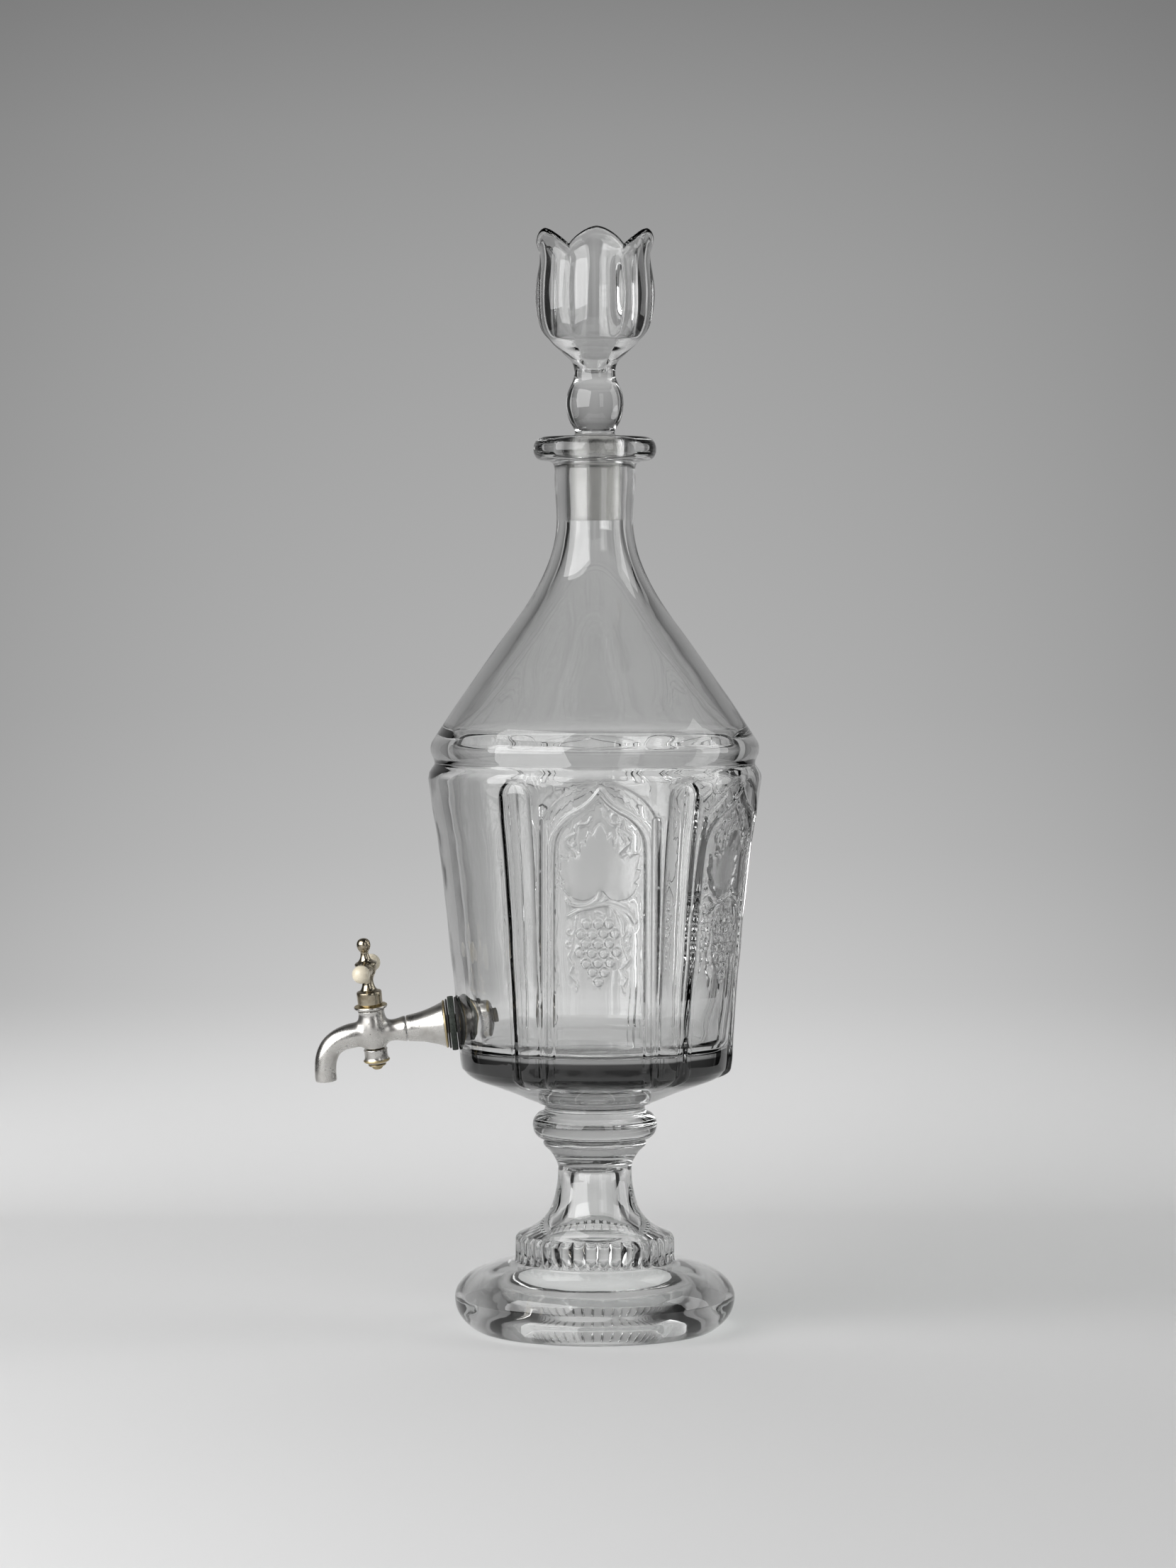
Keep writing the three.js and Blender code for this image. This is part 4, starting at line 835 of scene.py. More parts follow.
@dataclass(frozen=True)
class DryPacking(Finish):
    """Hardened rubber or pressed leather of a washer, cracked and dusty."""

    base: Colour = (0.012, 0.018, 0.014)
    dusty: Colour = (0.075, 0.085, 0.065)
    grain: float = 900.0
    crack_scale: float = 380.0
    roughness: float = 0.62
    relief: float = 0.12

    def surface(self, sheet: Sheet) -> Signal:
        """Builds the packing with its grain, cracks and dust."""
        where = sheet.place()
        cloud = sheet.noise(where, 240, 4, 0.6)
        grain = sheet.noise(where, self.grain, 4, 0.7)
        crack = 1 - sheet.cracks(where, self.crack_scale).between(0.02, 0.09)
        dust = (cloud.between(0.5, 0.75) * 0.5 + sheet.marked("wear") * 0.35).math("MINIMUM", 1.0)
        tone = sheet.blend(dust, self.base, self.dusty)
        tone = sheet.blend(crack * 0.6, tone, tuple(0.4 * value for value in self.base))
        rough = dust * 0.2 + grain * 0.2 + (self.roughness - 0.1)
        return sheet.shader(tone, rough, sheet.bump(grain * 0.5 - crack, self.relief), {})


class Slot(Enum):
    """The record's material slots."""

    GLASS = "clear_glass"
    SILVER = "silver_plate"
    TARNISHED = "tarnished_plate"
    IVORY = "ivory"
    BRASS = "brass"
    RUBBER = "old_rubber"
    LEATHER = "black_leather"


class Finishes:
    """The urn's materials, one for each slot."""

    def __init__(self, axis: float) -> None:
        """Builds them all round the urn's axis, in metres."""
        self.made = {
            Slot.GLASS: ClearGlass("pressed_glass", axis=axis).build(),
            Slot.SILVER: WornPlate("worn_silver_plate").build(),
            Slot.TARNISHED: WornPlate(
                "tarnished_plate", silver=(0.46, 0.41, 0.32), dull=(0.19, 0.145, 0.085), roughness=0.18,
                dulling=0.8, worn=0.7).build(),
            Slot.IVORY: OldIvory("old_ivory").build(),
            Slot.BRASS: AgedBrass("aged_brass").build(),
            Slot.RUBBER: DryPacking("hardened_rubber").build(),
            Slot.LEATHER: DryPacking(
                "pressed_leather", base=(0.012, 0.011, 0.011), dusty=(0.06, 0.055, 0.05), grain=1500.0,
                crack_scale=700.0, roughness=0.55).build(),
        }

    def dress(self, piece: bpy.types.Object, slot: Slot, body: str, *nodes: str) -> bpy.types.Object:
        """Gives a piece its finish and body, and hides the solids that it stands for.

        Args:
            piece: The piece.
            slot: The record's slot of its finish.
            body: The body that it rides on.
            nodes: Names of the solids that it replaces.

        Returns:
            The piece.
        """
        piece.data.materials.clear()
        piece.data.materials.append(self.made[slot])
        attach(piece, body)
        if nodes:
            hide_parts(*nodes)
        log.info("%s: %d triangles on %s", piece.name, triangles(piece), body)
        return piece


def triangles(piece: bpy.types.Object) -> int:
    """Counts a piece's triangles."""
    return sum(len(face.vertices) - 2 for face in piece.data.polygons)


# The glass


@dataclass
class VinePanel:
    """The pressed picture of one arched panel: moulding, vine leaf, grapes and tendrils.

    Points are across from the panel's middle and up from the table.
    """

    step: float = 0.1
    half_width: float = 30.0
    bottom: float = 116.0
    top: float = 272.0
    arch_half_width: float = 28.6
    arch_spring: float = 241.2
    arch_rise: float = 27.0
    arch_depth: float = 0.9
    panel_depth: float = 1.55
    moulding_half_width: float = 1.75
    moulding_lift: float = 0.1
    channel_centre: float = 26.5
    channel_half_width: float = 2.0
    channel_top: float = 252.0
    channel_depth: float = 2.3
    channel_power: float = 0.6
    arch_edge: tuple[float, float] = (0.5, -0.7)
    panel_edge: tuple[float, float] = (-0.6, 0.6)
    leaf_lift: float = 1.25
    leaf_groove: float = 0.35
    leaf_rim: float = 0.5
    leaf_softness: float = 0.14
    satin_softness: float = 0.2
    grape_radius: float = 2.4
    grape_lift: float = 1.9
    softness: float = 0.09
    ogee: tuple[Point, ...] = (
        (23.0, 110.0), (23.0, 180.0), (23.0, 230.0), (22.9, 236.0), (22.3, 241.3), (20.3, 246.2),
        (17.3, 250.0), (13.7, 253.0), (9.7, 255.2), (5.6, 258.0), (2.7, 260.8), (0.0, 264.4))
    leaf: tuple[Point, ...] = (
        (-0.2, 249.2), (-2.4, 247.0), (-4.0, 243.7), (-5.7, 244.8), (-6.6, 242.2), (-7.1, 238.9),
        (-9.3, 240.1), (-9.6, 237.5), (-9.7, 234.6), (-11.4, 234.6), (-11.6, 232.6), (-12.4, 233.6),
        (-14.7, 233.8), (-15.0, 231.9), (-18.8, 233.4), (-19.0, 230.5), (-18.3, 227.4), (-19.6, 226.6),
        (-18.6, 223.8), (-16.9, 221.5), (-18.1, 220.7), (-16.0, 216.9), (-12.4, 213.7), (-8.2, 212.6),
        (-4.8, 213.5), (-2.3, 215.6), (-0.8, 217.7), (1.5, 217.3), (3.0, 215.2), (4.9, 213.5),
        (8.7, 212.5), (12.9, 213.3), (15.9, 215.6), (17.6, 219.0), (18.0, 220.5), (16.3, 220.9),
        (18.4, 223.0), (19.5, 227.0), (17.1, 227.4), (18.4, 230.4), (18.8, 234.6), (16.5, 234.4),
        (14.2, 232.9), (13.1, 234.6), (10.0, 232.9), (8.7, 234.6), (8.3, 236.3), (7.6, 239.3),
        (6.2, 238.2), (6.2, 242.2), (5.5, 244.3), (3.2, 242.0), (2.6, 244.8), (0.9, 248.0))
    grapes: tuple[Point, ...] = (
        (-6.2, 201.7), (-0.8, 201.5), (4.3, 201.7), (-9.0, 196.9), (-3.6, 196.8), (1.8, 197.3),
        (7.2, 197.1), (-6.7, 192.5), (-0.9, 192.2), (4.5, 192.5), (-9.6, 188.1), (-3.8, 188.0),
        (1.9, 187.8), (8.0, 188.4), (-6.5, 182.9), (-0.9, 183.2), (5.0, 183.4), (-3.5, 179.0),
        (2.2, 178.8), (-0.5, 174.3))

    def strokes(self) -> list[tuple[tuple[Point, ...], float, float, float]]:
        """Lists stems and tendrils as points, half width at each end, and lift."""
        fine, lift = 0.55, 0.8
        return [
            (((-0.1, 219.5), (-0.3, 216.7), (-0.9, 214.4), (-2.0, 212.2), (-3.5, 211.0)), 1.15, 1.3, 0.95),
            (((-1.6, 213.0), (-3.5, 211.6), (-6.2, 210.3), (-10.6, 209.9), (-13.9, 210.8), (-16.0, 212.6)),
             1.3, 0.55, 0.9),
            (((-15.0, 205.5), (-10.2, 208.1), (-4.8, 209.3), (-0.8, 210.4), (4.3, 210.8), (8.7, 209.5),
              (13.8, 206.7), (16.8, 202.5)), 0.9, 1.25, 1.0),
            (((3.0, 213.6), (-0.6, 211.4), (-5.0, 209.9)), 0.9, 1.1, 0.8),
            (((-1.9, 207.5), (0.6, 206.9), (2.2, 205.6)), 0.5, 0.3, 0.45),
            (((-4.6, 251.7), (-5.7, 249.6), (-6.9, 248.9), (-10.3, 248.6), (-12.0, 246.9), (-12.0, 244.3),
              (-15.0, 242.9), (-16.0, 240.5), (-14.7, 238.4), (-11.2, 234.2)), fine, fine, lift),
            (((-14.9, 238.9), (-14.0, 238.2), (-13.1, 238.6), (-12.5, 239.6)), fine, 0.4, lift),
            (((0.7, 255.8), (1.9, 254.1), (3.0, 251.5), (4.9, 249.4), (7.0, 248.8), (9.5, 249.4),
              (9.0, 246.9), (9.3, 244.3), (10.8, 242.7), (11.7, 240.5), (10.8, 237.6), (8.7, 234.6)),
             fine, 0.7, 0.7),
            (((9.2, 246.0), (10.8, 244.8), (13.8, 242.7), (14.3, 240.1), (12.3, 238.4), (10.2, 236.3)),
             fine, fine, lift),
            (((7.9, 253.9), (6.2, 253.4), (5.3, 251.5), (6.0, 250.1)), 0.35, 0.35, 0.4),
            (((9.0, 206.2), (10.4, 203.9), (11.2, 201.6), (11.4, 197.8), (11.9, 196.6)), 0.55, fine, 0.6),
            (((11.9, 196.4), (12.4, 197.3), (13.4, 197.6), (14.6, 197.1), (14.8, 196.1), (14.1, 195.1),
              (12.9, 195.1)), 0.4, 0.4, 0.5),
            (((11.8, 196.6), (11.1, 195.1), (11.2, 191.7), (11.6, 190.0), (13.4, 185.3), (13.8, 184.1),
              (12.2, 182.2), (10.2, 180.0), (11.6, 177.8), (13.1, 175.8), (12.2, 174.0), (11.2, 172.2),
              (11.9, 169.0)), fine, fine, 0.6),
            (((11.6, 190.7), (12.2, 191.9), (13.3, 192.2), (14.3, 191.5), (14.4, 190.7), (13.8, 189.7),
              (12.8, 189.5)), 0.4, 0.4, 0.5),
            (((-11.2, 205.0), (-11.7, 202.2), (-12.1, 198.4), (-13.3, 196.5), (-14.6, 196.4), (-15.6, 197.4),
              (-15.1, 198.6), (-14.1, 198.8)), 0.45, 0.35, 0.45),
            (((-12.6, 196.6), (-12.9, 195.1), (-13.1, 192.0), (-14.3, 190.5), (-15.6, 190.8), (-16.1, 192.0),
              (-15.3, 193.0), (-14.3, 192.9)), 0.4, 0.35, 0.4),
            (((-13.0, 191.0), (-13.5, 189.4), (-15.0, 186.3), (-14.6, 184.3), (-12.8, 181.9), (-13.6, 179.8),
              (-14.3, 178.0), (-12.6, 175.6), (-10.7, 173.4), (-11.1, 169.7)), 0.4, 0.35, 0.4),
        ]

    def __post_init__(self) -> None:
        """Draws the panel once on a fine grid of depths and satin marks."""
        across = np.arange(-self.half_width, self.half_width + self.step / 2, self.step)
        up = np.arange(self.bottom, self.top + self.step / 2, self.step)
        self.across, self.up = np.meshgrid(across, up)
        ground = self.ground()
        lift = np.zeros_like(ground)
        leaf = self.filled(self.leaf)
        rim, form, self.satin = (self.blurred(leaf.astype(float), spread)
                                 for spread in (self.leaf_rim, self.leaf_softness, self.satin_softness))
        lift -= 4 * self.leaf_groove * rim * (1 - rim) * ~leaf
        np.maximum(lift, self.leaf_lift * form, out=lift, where=leaf | (rim < 0.02))
        for centre in self.grapes:
            self.raise_cap(lift, centre)
        for points, start, end, height in self.strokes():
            self.raise_ridge(lift, spline(points, 7), start, end, height)
        self.plain = self.blurred(ground, self.softness)
        self.carved = self.blurred(ground - lift, self.softness)

    def ground(self) -> Array:
        """Finds the depth of arch, moulding, panel and side channels, without the picture."""
        x, z = np.abs(self.across), self.up
        rise = np.maximum(z - self.arch_spring, 0)
        form = np.hypot(x / self.arch_half_width, rise / self.arch_rise)
        slope = np.hypot(x / self.arch_half_width ** 2, rise / self.arch_rise ** 2) / np.maximum(form, 1e-6)
        outside = (form - 1) / np.maximum(slope, 1e-6)
        depth = self.arch_depth * smooth_step(*self.arch_edge, outside)
        line = thinned(spline(self.ogee, 6), 0.01, 12)
        away = self.distance(line, x, z)
        half = np.interp(z, line[:, 1], line[:, 0], right=-1.0)
        inside = smooth_step(*self.panel_edge, half - x)
        depth = depth + (self.panel_depth - self.arch_depth) * inside
        roll = dome(away / self.moulding_half_width)
        depth = depth * (1 - roll) - self.moulding_lift * roll
        rise = np.maximum(z - (self.channel_top - self.channel_half_width), 0)
        away = np.hypot(x - self.channel_centre, rise) / self.channel_half_width
        scoop = self.channel_depth * np.clip(1 - away ** 2, 0, 1) ** self.channel_power
        return np.maximum(depth, scoop)

    @staticmethod
    def distance(line: Array, x: Array, z: Array) -> Array:
        """Measures how far points lie from a line of straight spans."""
        nearest = np.full(x.shape, np.inf)
        for start, end in zip(line, line[1:]):
            np.minimum(nearest, span_distance(x, z, start, end), out=nearest)
        return nearest

    def window(self, low: Sequence[float], high: Sequence[float]) -> tuple[slice, slice]:
        """Finds the part of the grid between two corners."""
        left, right = ((np.array([low[0], high[0]]) + self.half_width) / self.step).astype(int)
        bottom, top = ((np.array([low[1], high[1]]) - self.bottom) / self.step).astype(int)
        return slice(max(bottom, 0), top + 2), slice(max(left, 0), right + 2)

    def filled(self, outline: Sequence[Point]) -> Array:
        """Fills an outline on the grid."""
        inside = np.zeros(self.across.shape, bool)
        x, z = self.across, self.up
        for (ax, az), (bx, bz) in zip(outline, [*outline[1:], outline[0]]):
            if az != bz:
                inside ^= ((az > z) != (bz > z)) & (x < (bx - ax) * (z - az) / (bz - az) + ax)
        return inside

    def raise_cap(self, lift: Array, centre: Point) -> None:
        """Raises one grape."""
        reach = self.grape_radius
        part = self.window(np.array(centre) - reach, np.array(centre) + reach)
        away = np.hypot(self.across[part] - centre[0], self.up[part] - centre[1]) / reach
        lift[part] = np.maximum(lift[part], self.grape_lift * dome(away))

    def raise_ridge(self, lift: Array, line: Array, start: float, end: float, height: float) -> None:
        """Raises a round ridge along a line, tapered from its start to its end."""
        reach = max(start, end)
        part = self.window(line.min(0) - reach, line.max(0) + reach)
        for i, (low, high) in enumerate(zip(line, line[1:])):
            width = start + (end - start) * i / max(len(line) - 2, 1)
            away = span_distance(self.across[part], self.up[part], low, high) / width
            lift[part] = np.maximum(lift[part], height * dome(away))

    def blurred(self, values: Array, spread: float) -> Array:
        """Softens the grid as fire-polished edges are."""
        reach = int(math.ceil(3 * spread / self.step))
        weights = np.exp(-0.5 * (np.arange(-reach, reach + 1) * self.step / spread) ** 2)
        weights /= weights.sum()
        padded = np.pad(values, reach, mode="edge")
        height, width = values.shape
        rows = sum(w * padded[i:i + height, :] for i, w in enumerate(weights))
        return sum(w * rows[:, i:i + width] for i, w in enumerate(weights))

    def sample(self, grid: Array, x: Array, z: Array) -> Array:
        """Reads a grid between its points."""
        u = np.clip((x + self.half_width) / self.step, 0, grid.shape[1] - 1.001)
        v = np.clip((z - self.bottom) / self.step, 0, grid.shape[0] - 1.001)
        i, j = v.astype(int), u.astype(int)
        fu, fv = u - j, v - i
        return ((grid[i, j] * (1 - fu) + grid[i, j + 1] * fu) * (1 - fv)
                + (grid[i + 1, j] * (1 - fu) + grid[i + 1, j + 1] * fu) * fv)


@dataclass
class Arcade:
    """The pressed wall round the vessel: four vine panels between five columns."""

    panel: VinePanel = field(default_factory=VinePanel)
    panels: tuple[float, ...] = (0.0, 60.0, 120.0, 180.0)
    pictured: tuple[float, ...] = (0.0, 60.0, 120.0)
    columns: tuple[float, ...] = (-30.0, 30.0, 90.0, 150.0, 210.0)
    column_top: float = 267.6
    column_top_half_width: float = 7.2
    column_foot_half_width: float = 5.4
    column_depth: float = 1.9
    column_groove: float = 0.9
    base: float = 129.5
    bead: float = 268.4
    fade: tuple[float, float] = (121.8, 125.5)
    tap_side: float = 270.0
    tap_side_half_angle: float = 52.0
    tap_side_edge: float = 0.6
    tap_side_relief: float = 1.7
    panel_reach: float = 31.0
    column_reach: float = 10.0

    def relief(self, turn: Array, radius: Array, height: Array) -> tuple[Array, Array]:
        """Finds how deep the wall is pressed, and where it is satin.

        Args:
            turn: Degrees round from the front towards the tap's far side.
            radius: The wall's crest radius at each point.
            height: The height above the table.

        Returns:
            The depth in millimetres and the satin share.
        """
        depth = np.zeros_like(radius)
        satin = np.zeros_like(radius)
        for middle in self.panels:
            away = turn_from(turn, middle)
            near = np.abs(away) < self.panel_reach
            x = radius[near] * np.sin(np.radians(away[near]))
            pictured = middle in self.pictured
            grid = self.panel.carved if pictured else self.panel.plain
            depth[near] = np.maximum(depth[near], self.panel.sample(grid, x, height[near]))
            if pictured:
                satin[near] = np.maximum(satin[near], self.panel.sample(self.panel.satin, x, height[near]))
        for middle in self.columns:
            away = turn_from(turn, middle)
            near = np.abs(away) < self.column_reach
            x = radius[near] * np.sin(np.radians(away[near]))
            depth[near] = np.maximum(depth[near], self.column(x, height[near]))
        fade = smooth_step(*self.fade, height)
        depth = depth * fade
        share = np.clip((height - self.base) / (self.bead - self.base), 0, 1)
        plain = self.tap_side_relief * (1 - share) ** 2 * fade
        inner, outer = (self.tap_side_half_angle + side * self.tap_side_edge for side in (-1, 1))
        ground = smooth_step(outer, inner, np.abs(turn_from(turn, self.tap_side)))
        return depth + (plain - depth) * ground, satin

    def column(self, x: Array, height: Array) -> Array:
        """Finds the depth of a half-round column and of the groove round it."""
        spring = self.column_top - self.column_top_half_width
        half = np.interp(height, [self.base, spring],
                         [self.column_foot_half_width, self.column_top_half_width])
        away = np.hypot(x, np.maximum(height - spring, 0))
        share = np.clip(away / half, 0, 1)
        shaft = self.column_depth * (1 - dome(share))
        edge = half + self.column_groove
        return np.where(away < half, shaft, self.column_depth * smooth_step(edge + 0.8, edge - 0.1, away))


@dataclass
class GlassBody:
    """Pedestal, wafer and vessel, fused as one skin of pressed glass."""

    arcade: Arcade = field(default_factory=Arcade)
    segments: int = 160
    teeth: int = 40
    tooth_points: int = 12
    tooth_depth: float = 1.5
    tooth_power: float = 0.55
    tooth_rows: Rows = (
        (39.0, 33.6, 0.0), (38.9, 34.1, 0.6), (38.7, 35.0, 1.0), (38.6, 39.5, 1.0), (38.6, 43.4, 1.0),
        (38.4, 44.6, 1.0), (37.9, 45.6, 0.9), (37.3, 46.3, 0.55), (36.9, 46.7, 0.0))
    cell: int = 8
    wall_rows: int = 52
    tolerance: float = 0.04
    ring_tolerance: float = 0.03
    most_triangles: int = 190000
    neck_wall: float = 6.1
    neck_heights: tuple[float, float] = (296.0, 386.0)
    wall: float = 9.5
    wall_taper: float = 0.5
    taper_top: float = 240.0
    wall_heights: tuple[float, ...] = (238.0, 222.0, 200.0, 178.0, 160.0)
    crown_rise: float = 0.1
    floor_dip: float = 0.15
    foot: tuple[Point, ...] = (
        (56.4, 0.0), (57.4, 0.3), (58.9, 1.0), (61.6, 3.0), (64.7, 6.2), (66.9, 10.0), (68.0, 15.5),
        (67.2, 19.5), (65.0, 23.0), (61.0, 26.6), (55.0, 29.6), (48.0, 31.6), (42.6, 32.3), (40.4, 32.7),
        (39.2, 33.3))
    stem: tuple[Point, ...] = (
        (36.6, 46.9), (34.0, 47.9), (30.5, 49.6), (26.0, 52.8), (22.5, 57.0), (20.3, 62.0), (18.7, 68.5),
        (17.9, 75.0), (18.2, 80.5), (19.4, 83.2), (21.5, 86.5), (23.6, 88.6), (24.7, 89.6), (25.0, 90.5),
        (24.8, 91.4), (24.2, 91.9))
    knop: tuple[Point, ...] = (
        (24.2, 91.9), (25.3, 92.5), (27.4, 93.6), (29.2, 95.6), (30.2, 99.4), (29.4, 102.8), (27.4, 105.2),
        (25.3, 106.1), (24.5, 106.8))
    wafer: tuple[Point, ...] = ((24.5, 106.8), (24.3, 108.2), (24.9, 109.3), (26.6, 109.8), (27.4, 110.1))
    side: tuple[Point, ...] = (
        (27.6, 110.6), (31.0, 111.6), (38.0, 114.6), (48.0, 118.4), (58.0, 122.0), (63.4, 124.3),
        (65.9, 126.4), (66.7, 129.5), (67.5, 143.0), (68.4, 157.0), (69.4, 171.0), (70.8, 184.0),
        (71.8, 198.0), (73.2, 212.0), (74.2, 222.0), (75.4, 232.0), (77.0, 243.0), (78.7, 253.0),
        (80.0, 263.0), (80.6, 268.4), (80.1, 270.6))
    relief_starts: float = 119.5
    groove: tuple[Point, ...] = (
        (80.1, 270.6), (79.0, 272.4), (77.7, 274.3), (77.7, 276.0), (78.6, 278.2), (79.3, 280.2),
        (79.5, 282.6), (78.9, 285.0), (77.7, 287.0))
    shoulder: tuple[Point, ...] = (
        (77.7, 287.0), (76.2, 289.4), (73.4, 293.6), (66.3, 304.4), (59.0, 314.7), (51.9, 325.0),
        (44.6, 335.3), (36.9, 345.8), (30.3, 355.8), (24.9, 366.0), (20.9, 376.4), (18.8, 386.7),
        (18.5, 394.0), (18.9, 402.0), (19.6, 411.0), (19.5, 417.0), (20.3, 419.4), (22.4, 420.5))
    lip: tuple[Point, ...] = (
        (22.4, 420.5), (25.6, 420.7), (27.9, 421.8), (29.3, 423.8), (29.7, 426.4), (29.2, 429.0),
        (27.8, 431.1), (25.4, 432.2), (23.0, 432.3))
    mouth: tuple[Point, ...] = ((16.0, 432.3), (14.6, 432.15), (13.6, 431.5), (13.25, 430.2))
    bore_end: tuple[Point, ...] = ((12.45, 391.8), (12.42, 388.5))
    vault: tuple[Point, ...] = (
        (68.4, 290.6), (70.0, 286.4), (70.5, 281.0), (70.9, 274.0), (71.0, 267.0), (69.3, 253.0))
    floor: tuple[Point, ...] = ((56.3, 147.0), (55.9, 142.6), (53.8, 138.6), (49.6, 136.3), (44.0, 135.8))
    hollow: tuple[Point, ...] = (
        (54.4, 0.0), (53.9, 0.4), (53.8, 4.0), (53.6, 8.0), (52.6, 11.6), (49.8, 15.0), (45.4, 18.2),
        (40.4, 21.6), (35.4, 26.4), (30.4, 32.8), (25.6, 39.6), (19.6, 47.0), (15.0, 52.6), (12.6, 57.4),
        (11.5, 62.0), (10.4, 72.0), (9.6, 78.0), (7.6, 80.2), (4.0, 80.9))

    def make(self, place: Matrix, tap: "TapFrame") -> bpy.types.Object:
        """Builds the skin from the foot's rim up the outside, in at the mouth and down the inside.

        Args:
            place: The urn's place.
            tap: Where the wall is ground and bored for the tap.

        Returns:
            The glass body.
        """
        skin, around, fine = Skin(), self.segments, self.ring_tolerance
        hollow = thinned(spline(self.hollow), fine, 4)[::-1]
        side = spline(self.side, 24)
        pressed = side[:, 1] >= self.relief_starts
        rings = skin.rings(hollow, around)
        skin.cap(rings[0], (0, 0, hollow[0][1] + self.crown_rise), True)
        rings += skin.rings(joined(self.foot, tolerance=fine), around)
        rings += self.collar(skin)
        rings += skin.rings(joined(self.stem, self.knop, self.wafer, tolerance=fine), around)
        rings += skin.rings(thinned(side[~pressed], fine, 3), around)
        skin.join(rings)
        start, end = self.pressed_wall(skin, side[pressed])
        skin.bridge(rings[-1], start)
        rim = joined(self.groove, self.shoulder, self.lip, self.mouth, tolerance=fine)[1:]
        rings = [end, *skin.rings(rim, around), *skin.rings(self.inside(), around)]
        skin.join(rings)
        skin.cap(rings[-1], (0, 0, self.floor[-1][1] - self.floor_dip), False)
        body = skin.mesh("glass_body", place, "frost")
        carved(body, tap.cutter(), "DIFFERENCE")
        thin = body.modifiers.new("thin", "DECIMATE")
        thin.ratio = min(self.most_triangles / triangles(body), 1.0)
        baked(body)
        return crisp(body, 55)

    def collar(self, skin: Skin) -> list[Array]:
        """Adds the toothed collar: lobes with narrow gaps that lean in at their tops."""
        count = self.teeth * self.tooth_points
        gap = 1 - np.abs(np.sin(self.teeth * circle(count) / 2)) ** self.tooth_power
        return [skin.ring(radius - self.tooth_depth * share * gap, height, count)
                for radius, height, share in self.tooth_rows]

    def inside(self) -> Array:
        """Traces the bore, the shoulder's vault, the wall and the floor, down to near the axis."""
        outer = spline(self.shoulder, 10)
        tangent = tangents(outer)
        inner = outer + self.neck_wall * np.stack([-tangent[:, 1], tangent[:, 0]], 1)
        low, high = self.neck_heights
        kept = inner[(inner[:, 1] < high) & (inner[:, 1] > low)][::-1]
        lower = spline([*kept[-12::4].tolist(), *self.vault, *self.wall_inside(), *self.floor])[29:]
        # The neck's last samples only give the curve below them its slope
        parts = (thinned(part, self.ring_tolerance, 5) for part in (kept[:-4], lower))
        return np.vstack([self.bore_end, *parts])

    def wall_inside(self) -> list[Point]:
        """Lists points of the vessel's inner wall between the vault and the floor's corner."""
        side = np.array(self.side)
        return [(float(np.interp(z, side[:, 1], side[:, 0])) - self.wall
                 - self.wall_taper * (self.taper_top - z) / 100, z) for z in self.wall_heights]

    def pressed_wall(self, skin: Skin, curve: Array) -> tuple[Array, Array]:
        """Adds the wall as square cells that divide where the relief bends.

        Args:
            skin: The skin to add to.
            curve: Samples of the wall's crest profile.

        Returns:
            The lowest and the highest ring.
        """
        lattice, depth, satin = self.lattice(curve)
        columns = depth.shape[1]
        leaves = self.leaves(depth)
        used = np.zeros(depth.shape, bool)
        for size, cells in leaves.items():
            for v, u in cells:
                used[v:v + size + 1:size, [u, (u + size) % columns]] = True
        fans, quads = [], []
        for size, cells in leaves.items():
            for v, u in cells:
                right = (u + size) % columns
                loop = [(v, u), (v, right), (v + size, right), (v + size, u)]
                if size > 1:
                    half = size // 2
                    sides = [(v, u + half), (v + half, right), (v + size, u + half), (v + half, u)]
                    full = [spot for corner, side in zip(loop, sides)
                            for spot in ([corner, side] if used[side] else [corner])]
                    if len(full) > 4:
                        fans.append(((v + half, u + half), full))
                        continue
                quads.append(loop)
        for centre, _ in fans:
            used[centre] = True
        number = np.full(depth.shape, -1)
        number[used] = skin.add(lattice[used], satin[used])
        skin.faces.extend([int(number[spot]) for spot in loop] for loop in quads)
        for centre, loop in fans:
            skin.faces.extend((int(number[centre]), int(number[a]), int(number[b]))
                              for a, b in zip(loop, loop[1:] + loop[:1]))
        return number[0, ::self.cell], number[-1, ::self.cell]

    def lattice(self, curve: Array) -> tuple[Array, Array, Array]:
        """Lays the finest grid round the wall and presses the arcade into it.

        Args:
            curve: Samples of the wall's crest profile.

        Returns:
            The grid's points, their depths and their satin marks.
        """
        steps = np.concatenate([[0], np.cumsum(np.linalg.norm(np.diff(curve, axis=0), axis=1))])
        place = np.linspace(0, steps[-1], self.wall_rows * self.cell + 1)
        crest = np.stack([np.interp(place, steps, curve[:, k]) for k in range(2)], 1)
        tangent = tangents(crest)
        columns = self.segments * self.cell
        turn = np.arange(columns) / columns * 360
        shape = (len(place), columns)
        radius, height = (np.broadcast_to(crest[:, k:k + 1], shape) for k in range(2))
        depth, satin = self.arcade.relief(np.broadcast_to(turn, shape), radius, height)
        out = radius - depth * tangent[:, 1:]
        up = height + depth * tangent[:, :1]
        angle = np.radians(turn)
        return np.stack([out * np.sin(angle), -out * np.cos(angle), up], 2), depth, satin

